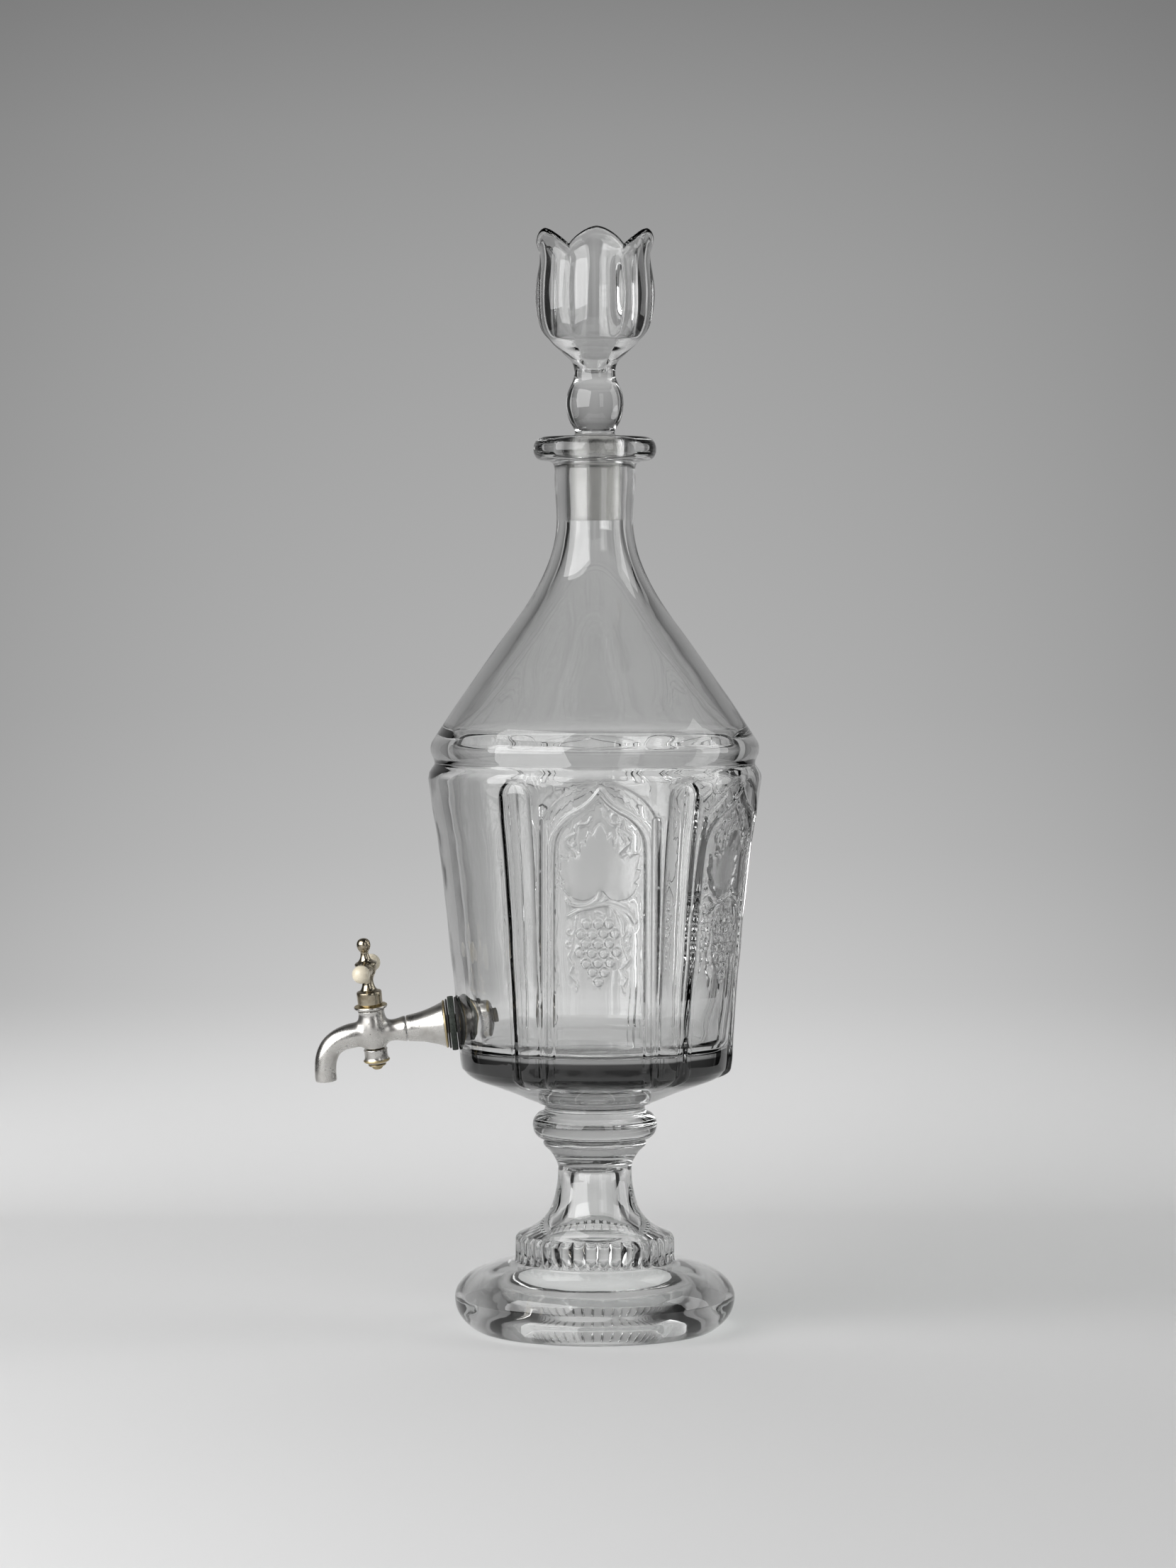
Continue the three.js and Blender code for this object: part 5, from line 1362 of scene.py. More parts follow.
    def leaves(self, depth: Array) -> dict[int, list[tuple[int, int]]]:
        """Divides the wall's cells until each is nearly flat, neighbours by one step at most."""
        rows, columns = depth.shape[0] - 1, depth.shape[1]
        wrapped = np.hstack([depth, depth[:, :1]])
        split: dict[int, Array] = {}
        size = self.cell
        while size > 1:
            split[size] = self.bend(wrapped, rows, columns, size) > self.tolerance
            size //= 2
        for size in sorted(split)[:-1]:
            spread = split[size].copy()
            spread |= np.roll(split[size], 1, 1) | np.roll(split[size], -1, 1)
            spread[1:] |= split[size][:-1]
            spread[:-1] |= split[size][1:]
            height, width = spread.shape
            split[2 * size] |= spread.reshape(height // 2, 2, width // 2, 2).any(axis=(1, 3))
        split[self.cell][[0, -1]] = False
        found: dict[int, list[tuple[int, int]]] = {}
        alive = np.ones_like(split[self.cell])
        size = self.cell
        while size > 1:
            divided = alive & split[size]
            found[size] = [(v * size, u * size) for v, u in np.argwhere(alive & ~divided).tolist()]
            alive = np.repeat(np.repeat(divided, 2, 0), 2, 1)
            size //= 2
        found[1] = [(v, u) for v, u in np.argwhere(alive).tolist()]
        return found

    @staticmethod
    def bend(field_: Array, rows: int, columns: int, size: int) -> Array:
        """Finds how far the relief leaves the flat of each cell of a size."""
        corners = [field_[a:rows + 1 - size + a:size, b:columns + 1 - size + b:size]
                   for a in (0, size) for b in (0, size)]
        worst = np.zeros((rows // size, columns // size))
        for i in range(size + 1):
            for j in range(size + 1):
                a, b = i / size, j / size
                flat = ((1 - a) * ((1 - b) * corners[0] + b * corners[1])
                        + a * ((1 - b) * corners[2] + b * corners[3]))
                real = field_[i:rows + 1 - size + i:size, j:columns + 1 - size + j:size]
                np.maximum(worst, np.abs(real - flat), out=worst)
        return worst


@dataclass
class TulipStopper:
    """The stopper: ground plug, solid knop and a hollow flower of six petals, made by a rule."""

    petals: int = 6
    columns: int = 288
    crease: float = 0.115
    crease_power: float = 2.4
    notch: float = 8.2
    notch_power: float = 1.6
    underside: float = 391.8
    cup_floor: float = 462.3
    plug: Rows = (
        (11.5, 391.8, 0, 0), (12.0, 392.0, 0, 0), (12.2, 392.6, 0, 0), (12.6, 411.0, 0, 0),
        (13.0, 429.6, 0, 0))
    knop: Rows = (
        (13.0, 429.6, 0, 0), (12.6, 431.2, 0, 0), (11.2, 432.2, 0, 0), (10.0, 433.2, 0, 0),
        (9.7, 434.6, 0, 0), (10.3, 436.4, 0, 0), (11.8, 438.8, 0, 0), (13.2, 443.0, 0, 0),
        (13.9, 448.2, 0, 0), (13.3, 453.0, 0, 0), (11.8, 456.8, 0, 0), (10.5, 459.6, 0, 0),
        (9.9, 462.8, 0, 0), (10.2, 465.8, 0, 0.0), (11.8, 468.9, 0.3, 0), (14.4, 471.2, 0.5, 0),
        (17.7, 474.1, 0.7, 0), (20.7, 476.6, 0.85, 0), (23.1, 479.2, 0.95, 0), (25.5, 481.6, 1, 0),
        (27.3, 484.4, 1, 0), (29.0, 489.5, 1, 0), (29.9, 494.7, 1, 0), (30.3, 499.8, 1, 0),
        (30.0, 505.0, 1, 0), (29.3, 510.0, 1, 0.02), (28.5, 514.6, 1, 0.14), (28.0, 519.0, 1, 0.36),
        (28.1, 523.4, 0.9, 0.62), (28.8, 527.2, 0.8, 0.88), (29.3, 529.4, 0.7, 0.98),
        (29.3, 530.7, 0.6, 1), (28.5, 531.5, 0.6, 1), (27.2, 531.3, 0.6, 1), (26.0, 530.1, 0.65, 1),
        (25.1, 527.8, 0.75, 0.94), (24.2, 523.4, 0.85, 0.66), (23.6, 519.0, 0.9, 0.38),
        (23.4, 514.6, 0.9, 0.14), (23.6, 508.0, 0.9, 0), (23.9, 499.0, 0.9, 0), (23.4, 490.0, 0.8, 0),
        (22.2, 485.0, 0.6, 0), (19.6, 480.6, 0.4, 0), (15.4, 476.8, 0.2, 0), (11.0, 473.6, 0, 0),
        (7.6, 470.2, 0, 0), (5.4, 467.3, 0, 0), (4.3, 464.6, 0, 0), (3.2, 462.9, 0, 0),
        (1.6, 462.4, 0, 0))

    def profile(self) -> bpy.types.Object:
        """Makes the profile a line of points that carry their share of petal and notch."""
        skirt = joined(self.plug, self.knop, tolerance=0.008, longest=2.0)
        line = np.vstack([[(0.0, self.underside, 0, 0)], skirt, [(0.0, self.cup_floor, 0, 0)]])
        data = bpy.data.meshes.new("stopper_profile")
        edges = [(i, i + 1) for i in range(len(line) - 1)]
        data.from_pydata([(r, 0, z) for r, z, _, _ in line.tolist()], edges, [])
        for name, values in zip(("petal", "notch"), line.T[2:]):
            store(data, name, values)
        guide = bpy.data.objects.new("stopper_profile", data)
        bpy.context.scene.collection.objects.link(guide)
        return guide

    def tree(self, rows: int) -> bpy.types.NodeTree:
        """Builds the rule that wraps a sheet round the axis and presses the petals into it."""
        sheet, inputs = rule("tulip_rule", "Profile", {
            "Petals": float(self.petals), "Crease": self.crease, "Notch": self.notch,
            "Crease Power": self.crease_power, "Notch Power": self.notch_power})
        line, petals, crease, notch, crease_power, notch_power = inputs
        grid = sheet.out("GeometryNodeMeshGrid", {}, {
            "Size X": 1.0, "Size Y": 1.0, "Vertices X": self.columns + 1, "Vertices Y": rows}, "Mesh")
        across, up, _ = sheet.split(sheet.out("GeometryNodeInputPosition"))
        turn = (across + 0.5) * (2 * math.pi)
        row = ((up + 0.5) * (rows - 1)).math("ROUND")

        def along(kind: str, value: Signal) -> Signal:
            """Reads a value of the profile at this row."""
            return sheet.out("GeometryNodeSampleIndex", {"data_type": kind, "domain": "POINT"},
                             {"Geometry": line, "Value": value, "Index": row}, "Value")

        def marked(name: str) -> Signal:
            """Reads a mark of the profile at this row."""
            return along("FLOAT", sheet.out("GeometryNodeInputNamedAttribute", {"data_type": "FLOAT"},
                                            {"Name": name}, "Attribute"))

        radius, _, top = sheet.split(along("FLOAT_VECTOR", sheet.out("GeometryNodeInputPosition")))
        share = ((turn * petals / (2 * math.pi) + 0.5).math("FRACT") * 2 - 1).math("ABSOLUTE")
        size = radius * (1 - crease * marked("petal") * share ** crease_power)
        height = top - notch * marked("notch") * share ** notch_power
        place = sheet.out("ShaderNodeCombineXYZ", {},
                          {0: size * turn.math("SINE"), 1: size * turn.math("COSINE") * -1, 2: height})
        bent = sheet.out("GeometryNodeSetPosition", {}, {"Geometry": grid, "Position": place})
        closed = sheet.out("GeometryNodeMergeByDistance", {}, {"Geometry": bent, "Distance": 0.0005})
        sheet.close(sheet.out("GeometryNodeSetShadeSmooth", {}, {0: closed}))
        return sheet.tree

    def make(self, place: Matrix, glass: bpy.types.Material) -> bpy.types.Object:
        """Builds the stopper from its profile by the petal rule."""
        guide = self.profile()
        return grown(guide, self.tree(len(guide.data.vertices)), "tulip_stopper", place, glass)


def grown(seed: bpy.types.Object, tree: bpy.types.NodeTree, name: str, place: Matrix,
          material: bpy.types.Material) -> bpy.types.Object:
    """Runs a Geometry Nodes tree on a seed mesh and places its plain result.

    Args:
        seed: The object whose mesh the tree starts from; it is removed.
        tree: The tree, which ends in its Set Material node.
        name: The new piece's name.
        place: From the seed's millimetres to the scene.
        material: The finish that the tree sets.

    Returns:
        The piece, closed and with its faces outwards.
    """
    for node in tree.nodes:
        if node.bl_idname == "GeometryNodeSetMaterial":
            node.inputs["Material"].default_value = material
    seed.modifiers.new("rule", "NODES").node_group = tree
    data = evaluated(seed)
    data.name = name
    bpy.data.objects.remove(seed)
    face_outwards(data, 0.0005)
    return placed(data, name, place)


# The tap


@dataclass
class TapFrame:
    """Where the tap stands: it leaves a ground seat, tips down and has rolled to the front."""

    urn: Matrix
    height: float = 149.3
    tilt: float = 6.3
    roll: float = 7.0
    wall_radius: float = 66.747
    seat_radius: float = 13.7
    seat_sink: float = 0.4
    glass_wall: float = 9.5
    bore: float = 5.1
    waterway: float = 2.7
    inner_seat_radius: float = 11.3
    inner_seat_sink: float = 0.6
    cutter_reach: float = 6.0
    gap: float = 0.3
    seat_leather: float = 1.9
    rubber: float = 2.9
    trumpet_leather: float = 0.9
    nut_leather: float = 1.5
    nut_thickness: float = 5.6
    shank_rest: float = 2.5
    barrel_offset: float = 16.2
    flare_length: float = 19.4
    key_angle: float = -10.8

    def __post_init__(self) -> None:
        """Works out the seats and the places along the tap's axis."""
        self.seat = math.sqrt(self.wall_radius ** 2 - self.seat_radius ** 2) - self.seat_sink
        self.glass = self.seat - (self.wall_radius - self.glass_wall) - self.inner_seat_sink
        self.seating_washer = self.gap
        self.gasket = self.seating_washer + self.seat_leather + self.gap
        self.flare_washer = self.gasket + self.rubber + self.gap
        self.flare = self.flare_washer + self.trumpet_leather + self.gap
        self.inlet = self.flare + self.flare_length
        self.barrel = self.inlet + self.barrel_offset
        self.inner_washer = -self.glass - self.gap
        self.inner_nut = self.inner_washer - self.nut_leather - self.gap
        self.shank_end = self.inner_nut - self.nut_thickness - self.shank_rest

    @property
    def tap(self) -> Matrix:
        """The tap's frame: X runs outwards from the ground seat."""
        turn = spin(180, "Z") @ spin(self.tilt, "Y") @ spin(-self.roll, "X")
        return self.urn @ Matrix.Translation((-self.seat, 0, self.height)) @ turn

    @property
    def along(self) -> Matrix:
        """A lathe's frame whose height runs outwards along the tap."""
        return self.tap @ spin(90, "Y")

    @property
    def cock(self) -> Matrix:
        """The barrel's frame: Z is the key's axis."""
        return self.tap @ Matrix.Translation((self.barrel, 0, 0))

    @property
    def key(self) -> Matrix:
        """The key's frame at rest."""
        return self.cock @ spin(self.key_angle, "Z")

    def cutter(self) -> bpy.types.Object:
        """Makes the shape that bores the wall and grinds flat seats on both its sides."""
        inner, outer = -self.glass - self.glass_wall, self.cutter_reach
        profile = np.array([
            (0.0, inner), (self.inner_seat_radius, inner), (self.inner_seat_radius, -self.glass),
            (self.bore, -self.glass), (self.bore, 0.0), (self.seat_radius, 0.0), (self.seat_radius, outer),
            (0.0, outer)])
        flat = self.urn @ Matrix.Translation((-self.seat, 0, self.height)) @ spin(180, "Z")
        return turned("tap_cutter", profile, 64, flat @ spin(self.tilt, "Y") @ spin(90, "Y"))


@dataclass
class Packing:
    """The washers and the gasket that seal the tap against the glass, inside and outside."""

    frame: TapFrame
    edge: float = 0.35
    swell: float = 0.12
    segments: int = 72

    def washer(self, name: str, radius: float, near: float, thick: float, uneven: float) -> bpy.types.Object:
        """Builds one washer with rounded, slightly uneven edges.

        Args:
            name: The piece's name.
            radius: Its outer radius.
            near: Where it starts along the tap.
            thick: How thick it is.
            uneven: How far its rim wanders.

        Returns:
            The washer.
        """
        edge = min(self.edge, thick * 0.4)
        ease, middle, far, bore = edge * 0.3, radius * 0.7, near + thick, self.frame.bore
        profile = (
            (radius - edge, near, 0.5), (radius - ease, near + ease, 0.8), (radius, near + edge, 0.6),
            (radius + self.swell, near + thick / 2, 0.1), (radius, far - edge, 0.6),
            (radius - ease, far - ease, 0.8), (radius - edge, far, 0.5), (middle, far, 0.0),
            (bore, far, 0.0), (bore, near, 0.0), (middle, near, 0.0))
        turn = circle(self.segments)
        wander = uneven * (np.sin(3 * turn + 1.1) * 0.5 + np.sin(7 * turn + 0.4) * 0.3
                           + np.sin(13 * turn) * 0.2)
        skin = Skin()
        skin.join([skin.ring(size + wander * (size > middle), height, self.segments, mark)
                   for size, height, mark in profile], looped=True)
        return skin.mesh(name, self.frame.along)

    def make(self, finishes: Finishes) -> None:
        """Builds and dresses all four."""
        at = self.frame
        for name, radius, near, thick, uneven, slot, node in (
                ("seat_leather", 12.5, at.seating_washer, at.seat_leather, 0.12,
                 Slot.LEATHER, "seating_washer"),
                ("rubber_gasket", 13.1, at.gasket, at.rubber, 0.16, Slot.RUBBER, "packing_gasket"),
                ("trumpet_leather", 12.0, at.flare_washer, at.trumpet_leather, 0.1,
                 Slot.LEATHER, "flare_washer"),
                ("nut_leather", 10.75, at.inner_washer - at.nut_leather, at.nut_leather, 0.1,
                 Slot.LEATHER, "inner_washer")):
            finishes.dress(self.washer(name, radius, near, thick, uneven), slot, "urn", node)


@dataclass
class Shank:
    """The threaded pipe through the glass, with its nut inside the vessel."""

    frame: TapFrame
    radius: float = 4.75
    core_radius: float = 4.3
    pitch: float = 1.15
    run_out: float = 1.2
    edge: float = 0.3
    nut_radius: float = 9.4
    nut_flat: float = 8.2

    def tree(self, length: float) -> bpy.types.NodeTree:
        """Builds the rule that winds a thread round the pipe."""
        sheet, (pipe, radius, pitch, long, ridge) = rule("thread_rule", "Pipe", {
            "Radius": self.core_radius, "Pitch": self.pitch, "Length": length,
            "Ridge": self.radius - self.core_radius})
        line = sheet.out("GeometryNodeCurveSpiral", {}, {
            "Resolution": 28, "Rotations": long / pitch, "Start Radius": radius, "End Radius": radius,
            "Height": long})
        section = sheet.out("GeometryNodeCurvePrimitiveCircle", {"mode": "RADIUS"},
                            {"Resolution": 4, "Radius": ridge})
        wound = sheet.out("GeometryNodeCurveToMesh", {},
                          {"Curve": line, "Profile Curve": section, "Fill Caps": True})
        both = sheet.node("GeometryNodeJoinGeometry")
        for part in (pipe, wound):
            sheet.tree.links.new(part.socket, both.inputs[0])
        sheet.close(sheet.read(both))
        return sheet.tree

    def make(self, finishes: Finishes) -> None:
        """Builds the threaded pipe and the round nut with two spanner flats."""
        at = self.frame
        length = at.inlet - at.gap - at.shank_end
        core, bore, edge = self.core_radius, at.waterway, self.edge
        profile = np.array([
            (bore + edge, 0.0), (core - edge, 0.0), (core, edge), (core, length), (bore, length),
            (bore, edge)])
        seed = turned("thread_seed", profile, 48, Matrix.Identity(4), looped=True)
        pipe = grown(seed, self.tree(length - self.run_out), "threaded_pipe",
                     at.along @ above(at.shank_end), finishes.made[Slot.BRASS])
        mark_edges(pipe, 0.12)
        finishes.dress(pipe, Slot.BRASS, "urn", "threaded_shank")
        finishes.dress(self.nut(), Slot.SILVER, "urn", "inner_nut")

    def nut(self) -> bpy.types.Object:
        """Builds the nut, rounded on its free face."""
        at, radius, bore = self.frame, self.nut_radius, self.frame.bore
        far, near = at.inner_nut, at.inner_nut - at.nut_thickness
        face, side = (radius - 2.2, near, 0.2), (radius, near + 2.2, 0.2)
        profile = np.vstack([
            joined(((bore + 0.5, near, 0.3), face),
                   (face, (radius - 0.9, near + 0.35, 0.7), (radius - 0.1, near + 1.3, 0.8), side),
                   (side, (radius, far - 0.4, 0.3), (radius - 0.4, far, 0.5))),
            [(bore, far, 0.0), (bore, near + 0.5, 0.2)]])
        nut = turned("round_nut", profile, 96, at.along, looped=True)
        stock = block("nut_stock", (40, 2 * self.nut_flat, 12), at.along @ above((near + far) / 2))
        carved(nut, stock, "INTERSECT")
        return crisp(nut, 35)


@dataclass
class Cock:
    """The tap's casting and the trumpet that spreads its pull over the gasket."""

    frame: TapFrame
    plug_top: float = 4.9
    plug_end: float = 4.0
    clearance: float = 0.15
    top: float = 13.4
    bottom: float = 7.9
    overcut: float = 5.0
    barrel: Rows = (
        (5.9, -7.9), (6.1, -6.4), (6.8, -4.0), (7.6, 0.0), (7.4, 4.0), (6.7, 7.4), (6.3, 9.8), (6.6, 11.2))
    flange: Rows = (
        (5.6, 11.0, 0.2), (7.2, 11.7, 0.5), (8.0, 12.1, 0.9), (8.15, 12.75, 1.0), (7.9, 13.3, 0.9),
        (7.5, 13.4, 0.5))
    inlet: Rows = (
        (6.25, -15.9), (6.1, -14.6), (5.5, -12.4), (5.2, -10.2), (5.35, -8.0), (6.0, -5.6))
    spout_line: tuple[tuple[float, float], ...] = (
        (0.0, 0.0), (6.7, -0.3), (12.7, -0.9), (17.6, -2.5), (21.6, -5.6), (24.1, -10.2), (25.2, -15.6),
        (25.5, -21.3))
    spout_radii: tuple[float, ...] = (6.2, 6.2, 5.9, 5.6, 5.45, 5.35, 5.3, 5.3)
    spout_mouth: tuple[float, ...] = (3.3, 3.8, 4.1, 4.25, 4.3)
    sweep_stations: tuple[float, ...] = (0.07, 0.14, 0.25, 0.4, 0.55, 0.7, 0.82, 0.9, 0.96)

    def sweep(self, name: str, radii: Sequence[float], extend: float) -> bpy.types.Object:
        """Runs a round section along the spout's line.

        Args:
            name: The mesh's name.
            radii: The radius at each point of the line.
            extend: How far the sweep runs past the spout's end.

        Returns:
            The swept solid.
        """
        rows = spline([(x, z, r) for (x, z), r in zip(self.spout_line, radii)], 6)
        if extend:
            step = rows[-1] - rows[-2]
            rows = np.vstack([rows, rows[-1] + step / np.linalg.norm(step[:2]) * extend])
        turn, skin, rings = circle(48), Skin(), []
        for (x, z, radius), (tx, tz) in zip(rows, tangents(rows[:, :2])):
            up = radius * np.sin(turn)
            rings.append(skin.add(np.stack([x - up * tz, -radius * np.cos(turn), z + up * tx], 1)))
        skin.join(rings)
        for end, first in ((0, True), (-1, False)):
            skin.cap(rings[end], (rows[end, 0], 0, rows[end, 1]), first)
        piece = skin.mesh(name, self.frame.cock)
        face_outwards(piece.data, 1e-7)
        return piece

    def make(self, finishes: Finishes) -> None:
        """Casts barrel, inlet and spout, melts their joints and bores them."""
        at = self.frame
        across = at.cock @ spin(90, "Y")
        body = solid("cock_casting", joined(self.barrel), at.cock)
        carved(body, solid("inlet", np.vstack([joined(self.inlet), [(6.0, 0.0)]]), across), "UNION")
        carved(body, self.sweep("spout", self.spout_radii, 0.0), "UNION")
        softened(body, 0.3, at.cock, 7.0, 13.5, 260)
        carved(body, solid("flange", joined(self.flange), at.cock), "UNION")
        slope = (self.plug_top - self.plug_end) / (self.top + self.bottom)
        plug = [(self.plug_end + slope * (z + self.bottom) + self.clearance, z)
                for z in (-self.bottom - self.overcut, self.top + self.overcut)]
        carved(body, solid("plug_bore", plug, at.cock), "DIFFERENCE")
        water = [(at.waterway, z) for z in (-at.barrel_offset - self.overcut, 0.0)]
        carved(body, solid("water_bore", water, across, 40), "DIFFERENCE")
        carved(body, self.sweep("spout_bore", [*[at.waterway] * 3, *self.spout_mouth], 4.0), "DIFFERENCE")
        crisp(body, 48)
        mark_edges(body, 0.1)
        finishes.dress(body, Slot.SILVER, "urn", "tap_body")
        finishes.dress(self.trumpet(), Slot.SILVER, "urn", "inlet_flare")

    def trumpet(self) -> bpy.types.Object:
        """Turns the trumpet: a rolled rim at the gasket, then a slow sweep to the collar."""
        at = self.frame
        start, end = at.flare, at.flare + at.flare_length
        sweep = [(6.3 + 5.3 * (1 - s) ** 2.1 + 1.6 * s * (1 - s), start + at.flare_length * s,
                  0.25 if s > 0.1 else 0.6) for s in self.sweep_stations]
        face = (11.0, start, 0.4)
        profile = np.vstack([
            joined(((at.bore, start, 0.0), face),
                   (face, (11.5, start + 0.25, 0.9), (11.65, start + 0.7, 1.0), (11.45, start + 1.1, 0.9),
                    *sweep),
                   (sweep[-1], (6.2, end - 0.3, 0.6), (5.9, end, 0.4)), tolerance=0.008),
            [(at.bore, end, 0.0)]])
        return crisp(turned("trumpet", profile, 96, at.along, looped=True), 50)


@dataclass
class Key:
    """The cock's key: tapered plug, waisted handle with a cross, finial, knobs, cap and screw."""

    frame: TapFrame
    cross: float = 31.5
    knob_radius: float = 4.37
    knob_place: float = 13.2
    pin_radius: float = 1.1
    pin_edge: float = 0.2
    screw_length: float = 5.0
    bore: float = 1.4
    handle: Rows = (
        (4.9, 13.8), (5.75, 13.85), (5.95, 14.1), (6.05, 16.0), (6.1, 19.6), (5.95, 20.2), (5.4, 20.5))
    waist: Rows = (
        (5.4, 20.5), (4.2, 21.0), (3.3, 22.4), (2.8, 24.4), (2.85, 26.0), (3.4, 27.6), (4.3, 29.2),
        (4.8, 31.2), (5.0, 32.6), (5.35, 33.4), (5.4, 34.0), (5.1, 34.5), (4.2, 34.9), (3.0, 36.0),
        (2.2, 37.6), (1.9, 39.2), (1.95, 39.9))
    finial: Rows = (
        (1.95, 39.9), (2.3, 40.3), (2.9, 41.2), (3.3, 42.5), (3.33, 43.6), (3.0, 44.9), (2.2, 45.9),
        (1.1, 46.4), (0.4, 46.53))
    plug: Rows = ((2.6, -15.0), (2.6, -7.4), (4.0, -7.3), (4.9, 13.8))
    bell: Rows = (
        (5.2, -15.0, 0.5), (6.0, -14.5, 0.8), (6.35, -14.1, 1.0), (6.4, -13.7, 1.0), (6.1, -13.3, 0.9),
        (5.75, -12.4, 0.3), (5.65, -11.0, 0.1), (5.7, -9.4, 0.1))
    hub: Rows = (
        (2.5, -8.2), (2.8, -7.9), (3.2, -6.8), (3.5, -5.0), (3.8, -3.0), (3.9, 0.0), (3.8, 3.0), (3.5, 5.0),
        (3.2, 6.8), (2.8, 7.9), (2.5, 8.2))

    def make(self, finishes: Finishes) -> None:
        """Builds and dresses all that turns."""
        for piece, slot, node in (
                (self.key(), Slot.TARNISHED, "tap_key"),
                (self.knob("ivory_front", 1), Slot.IVORY, "front_knob"),
                (self.knob("ivory_rear", -1), Slot.IVORY, "rear_knob"),
                (self.pin(), Slot.BRASS, "cross_pin"),
                (self.cap(), Slot.SILVER, "bottom_cap"),
                (self.washer(), Slot.BRASS, "key_washer"),
                (self.screw(), Slot.BRASS, "key_screw")):
            finishes.dress(piece, slot, "key", node)

    @property
    def crossing(self) -> Matrix:
        """A lathe's frame at the cross whose height runs along the pin."""
        return self.frame.key @ above(self.cross) @ spin(-90, "X")

    def key(self) -> bpy.types.Object:
        """Turns plug and handle, melts the cross into them and drills port and pin hole."""
        at = self.frame.key
        body = solid("key_handle", joined(self.handle, self.waist, self.finial, tolerance=0.006), at)
        carved(body, solid("hub", joined(self.hub), self.crossing, 64), "UNION")
        softened(body, 0.2, self.crossing, 3.0, 7.0, 30)
        carved(body, solid("plug", self.plug, at, 64), "UNION")
        for name, radius, start, end, place, count in (
                ("port", self.frame.waterway, -10.0, 10.0, at @ spin(-90, "X"), 32),
                ("pin_hole", self.bore, -13.0, 13.0, self.crossing, 24),
                ("screw_hole", self.bore, -17.0, -8.0, at, 24)):
            carved(body, solid(name, ((radius, start), (radius, end)), place, count), "DIFFERENCE")
        crisp(body, 50)
        mark_edges(body, 0.08)
        return body

    def knob(self, name: str, side: int) -> bpy.types.Object:
        """Turns one ivory ball with its bore towards the hub."""
        radius, bore = self.knob_radius, self.bore
        start = math.asin(bore / radius)
        ball = [(radius * math.sin(a), -radius * math.cos(a), 0.9 if a < start + 0.2 else 0.0)
                for a in np.linspace(start, math.pi - 0.04, 56)]
        profile = np.array([(0.0, 0.6, 0.5), (bore, 0.6, 0.5), *ball, (0.0, radius, 0.0)])
        place = self.frame.key @ Matrix.Translation((0, side * self.knob_place, self.cross))
        piece = turned(name, profile, 72, place @ spin(-side * 90, "X"))
        face_outwards(piece.data, 1e-8)
        return crisp(piece, 50)

    def pin(self) -> bpy.types.Object:
        """Turns the pin that holds both knobs."""
        radius, half, edge = self.pin_radius, self.knob_place, self.pin_edge
        profile = ((radius - edge, -half), (radius, -half + edge), (radius, half - edge),
                   (radius - edge, half))
        return solid("cross_bar", profile, self.crossing, 32)

    def cap(self) -> bpy.types.Object:
        """Turns the bell-shaped cap under the barrel, bright at its rolled edge."""
        bore, top, bottom = 2.9, -8.2, -15.4
        face, edge = (4.3, bottom, 0.5), (5.8, top - 0.5, 0.4)
        profile = np.vstack([
            joined(((bore, bottom, 0.2), face), (face, *self.bell, edge),
                   (edge, (5.7, top - 0.1, 0.7), (5.4, top, 0.4)), tolerance=0.006),
            [(bore, top, 0.0)]])
        return crisp(turned("bell_cap", profile, 96, self.frame.key, looped=True), 50)

    def washer(self) -> bpy.types.Object:
        """Turns the brass washer under the cap."""
        bore, top, bottom = self.bore, -15.7, -16.6
        profile = np.array([
            (bore, bottom, 0.1), (3.9, bottom, 0.3), (4.25, bottom + 0.2, 0.9), (4.3, bottom + 0.45, 0.8),
            (4.25, top - 0.15, 0.9), (4.0, top, 0.4), (bore, top, 0.1)])
        return turned("cap_washer", profile, 72, self.frame.key, looped=True)

    def screw(self) -> bpy.types.Object:
        """Turns the slotted screw that draws the key into its taper."""
        at, top = self.frame.key, -16.9
        tip = top + self.screw_length
        head = joined(((0.6, top - 1.6, 0.4), (1.6, top - 1.5, 0.5), (2.3, top - 1.0, 0.8),
                       (2.6, top - 0.5, 0.6), (2.6, top, 0.4)))
        profile = np.vstack([
            [(0.0, top - 1.62, 0.4)], head, [(1.1, top, 0.1), (1.1, tip, 0.1), (0.0, tip, 0)]])
        screw = turned("slotted_screw", profile, 64, at)
        slot = block("slot_cutter", (12, 0.7, 1.6), at @ above(top - 1.6) @ Matrix.Rotation(0.5, 4, "Z"))
        carved(screw, slot, "DIFFERENCE")
        return crisp(screw, 40)


# The studio


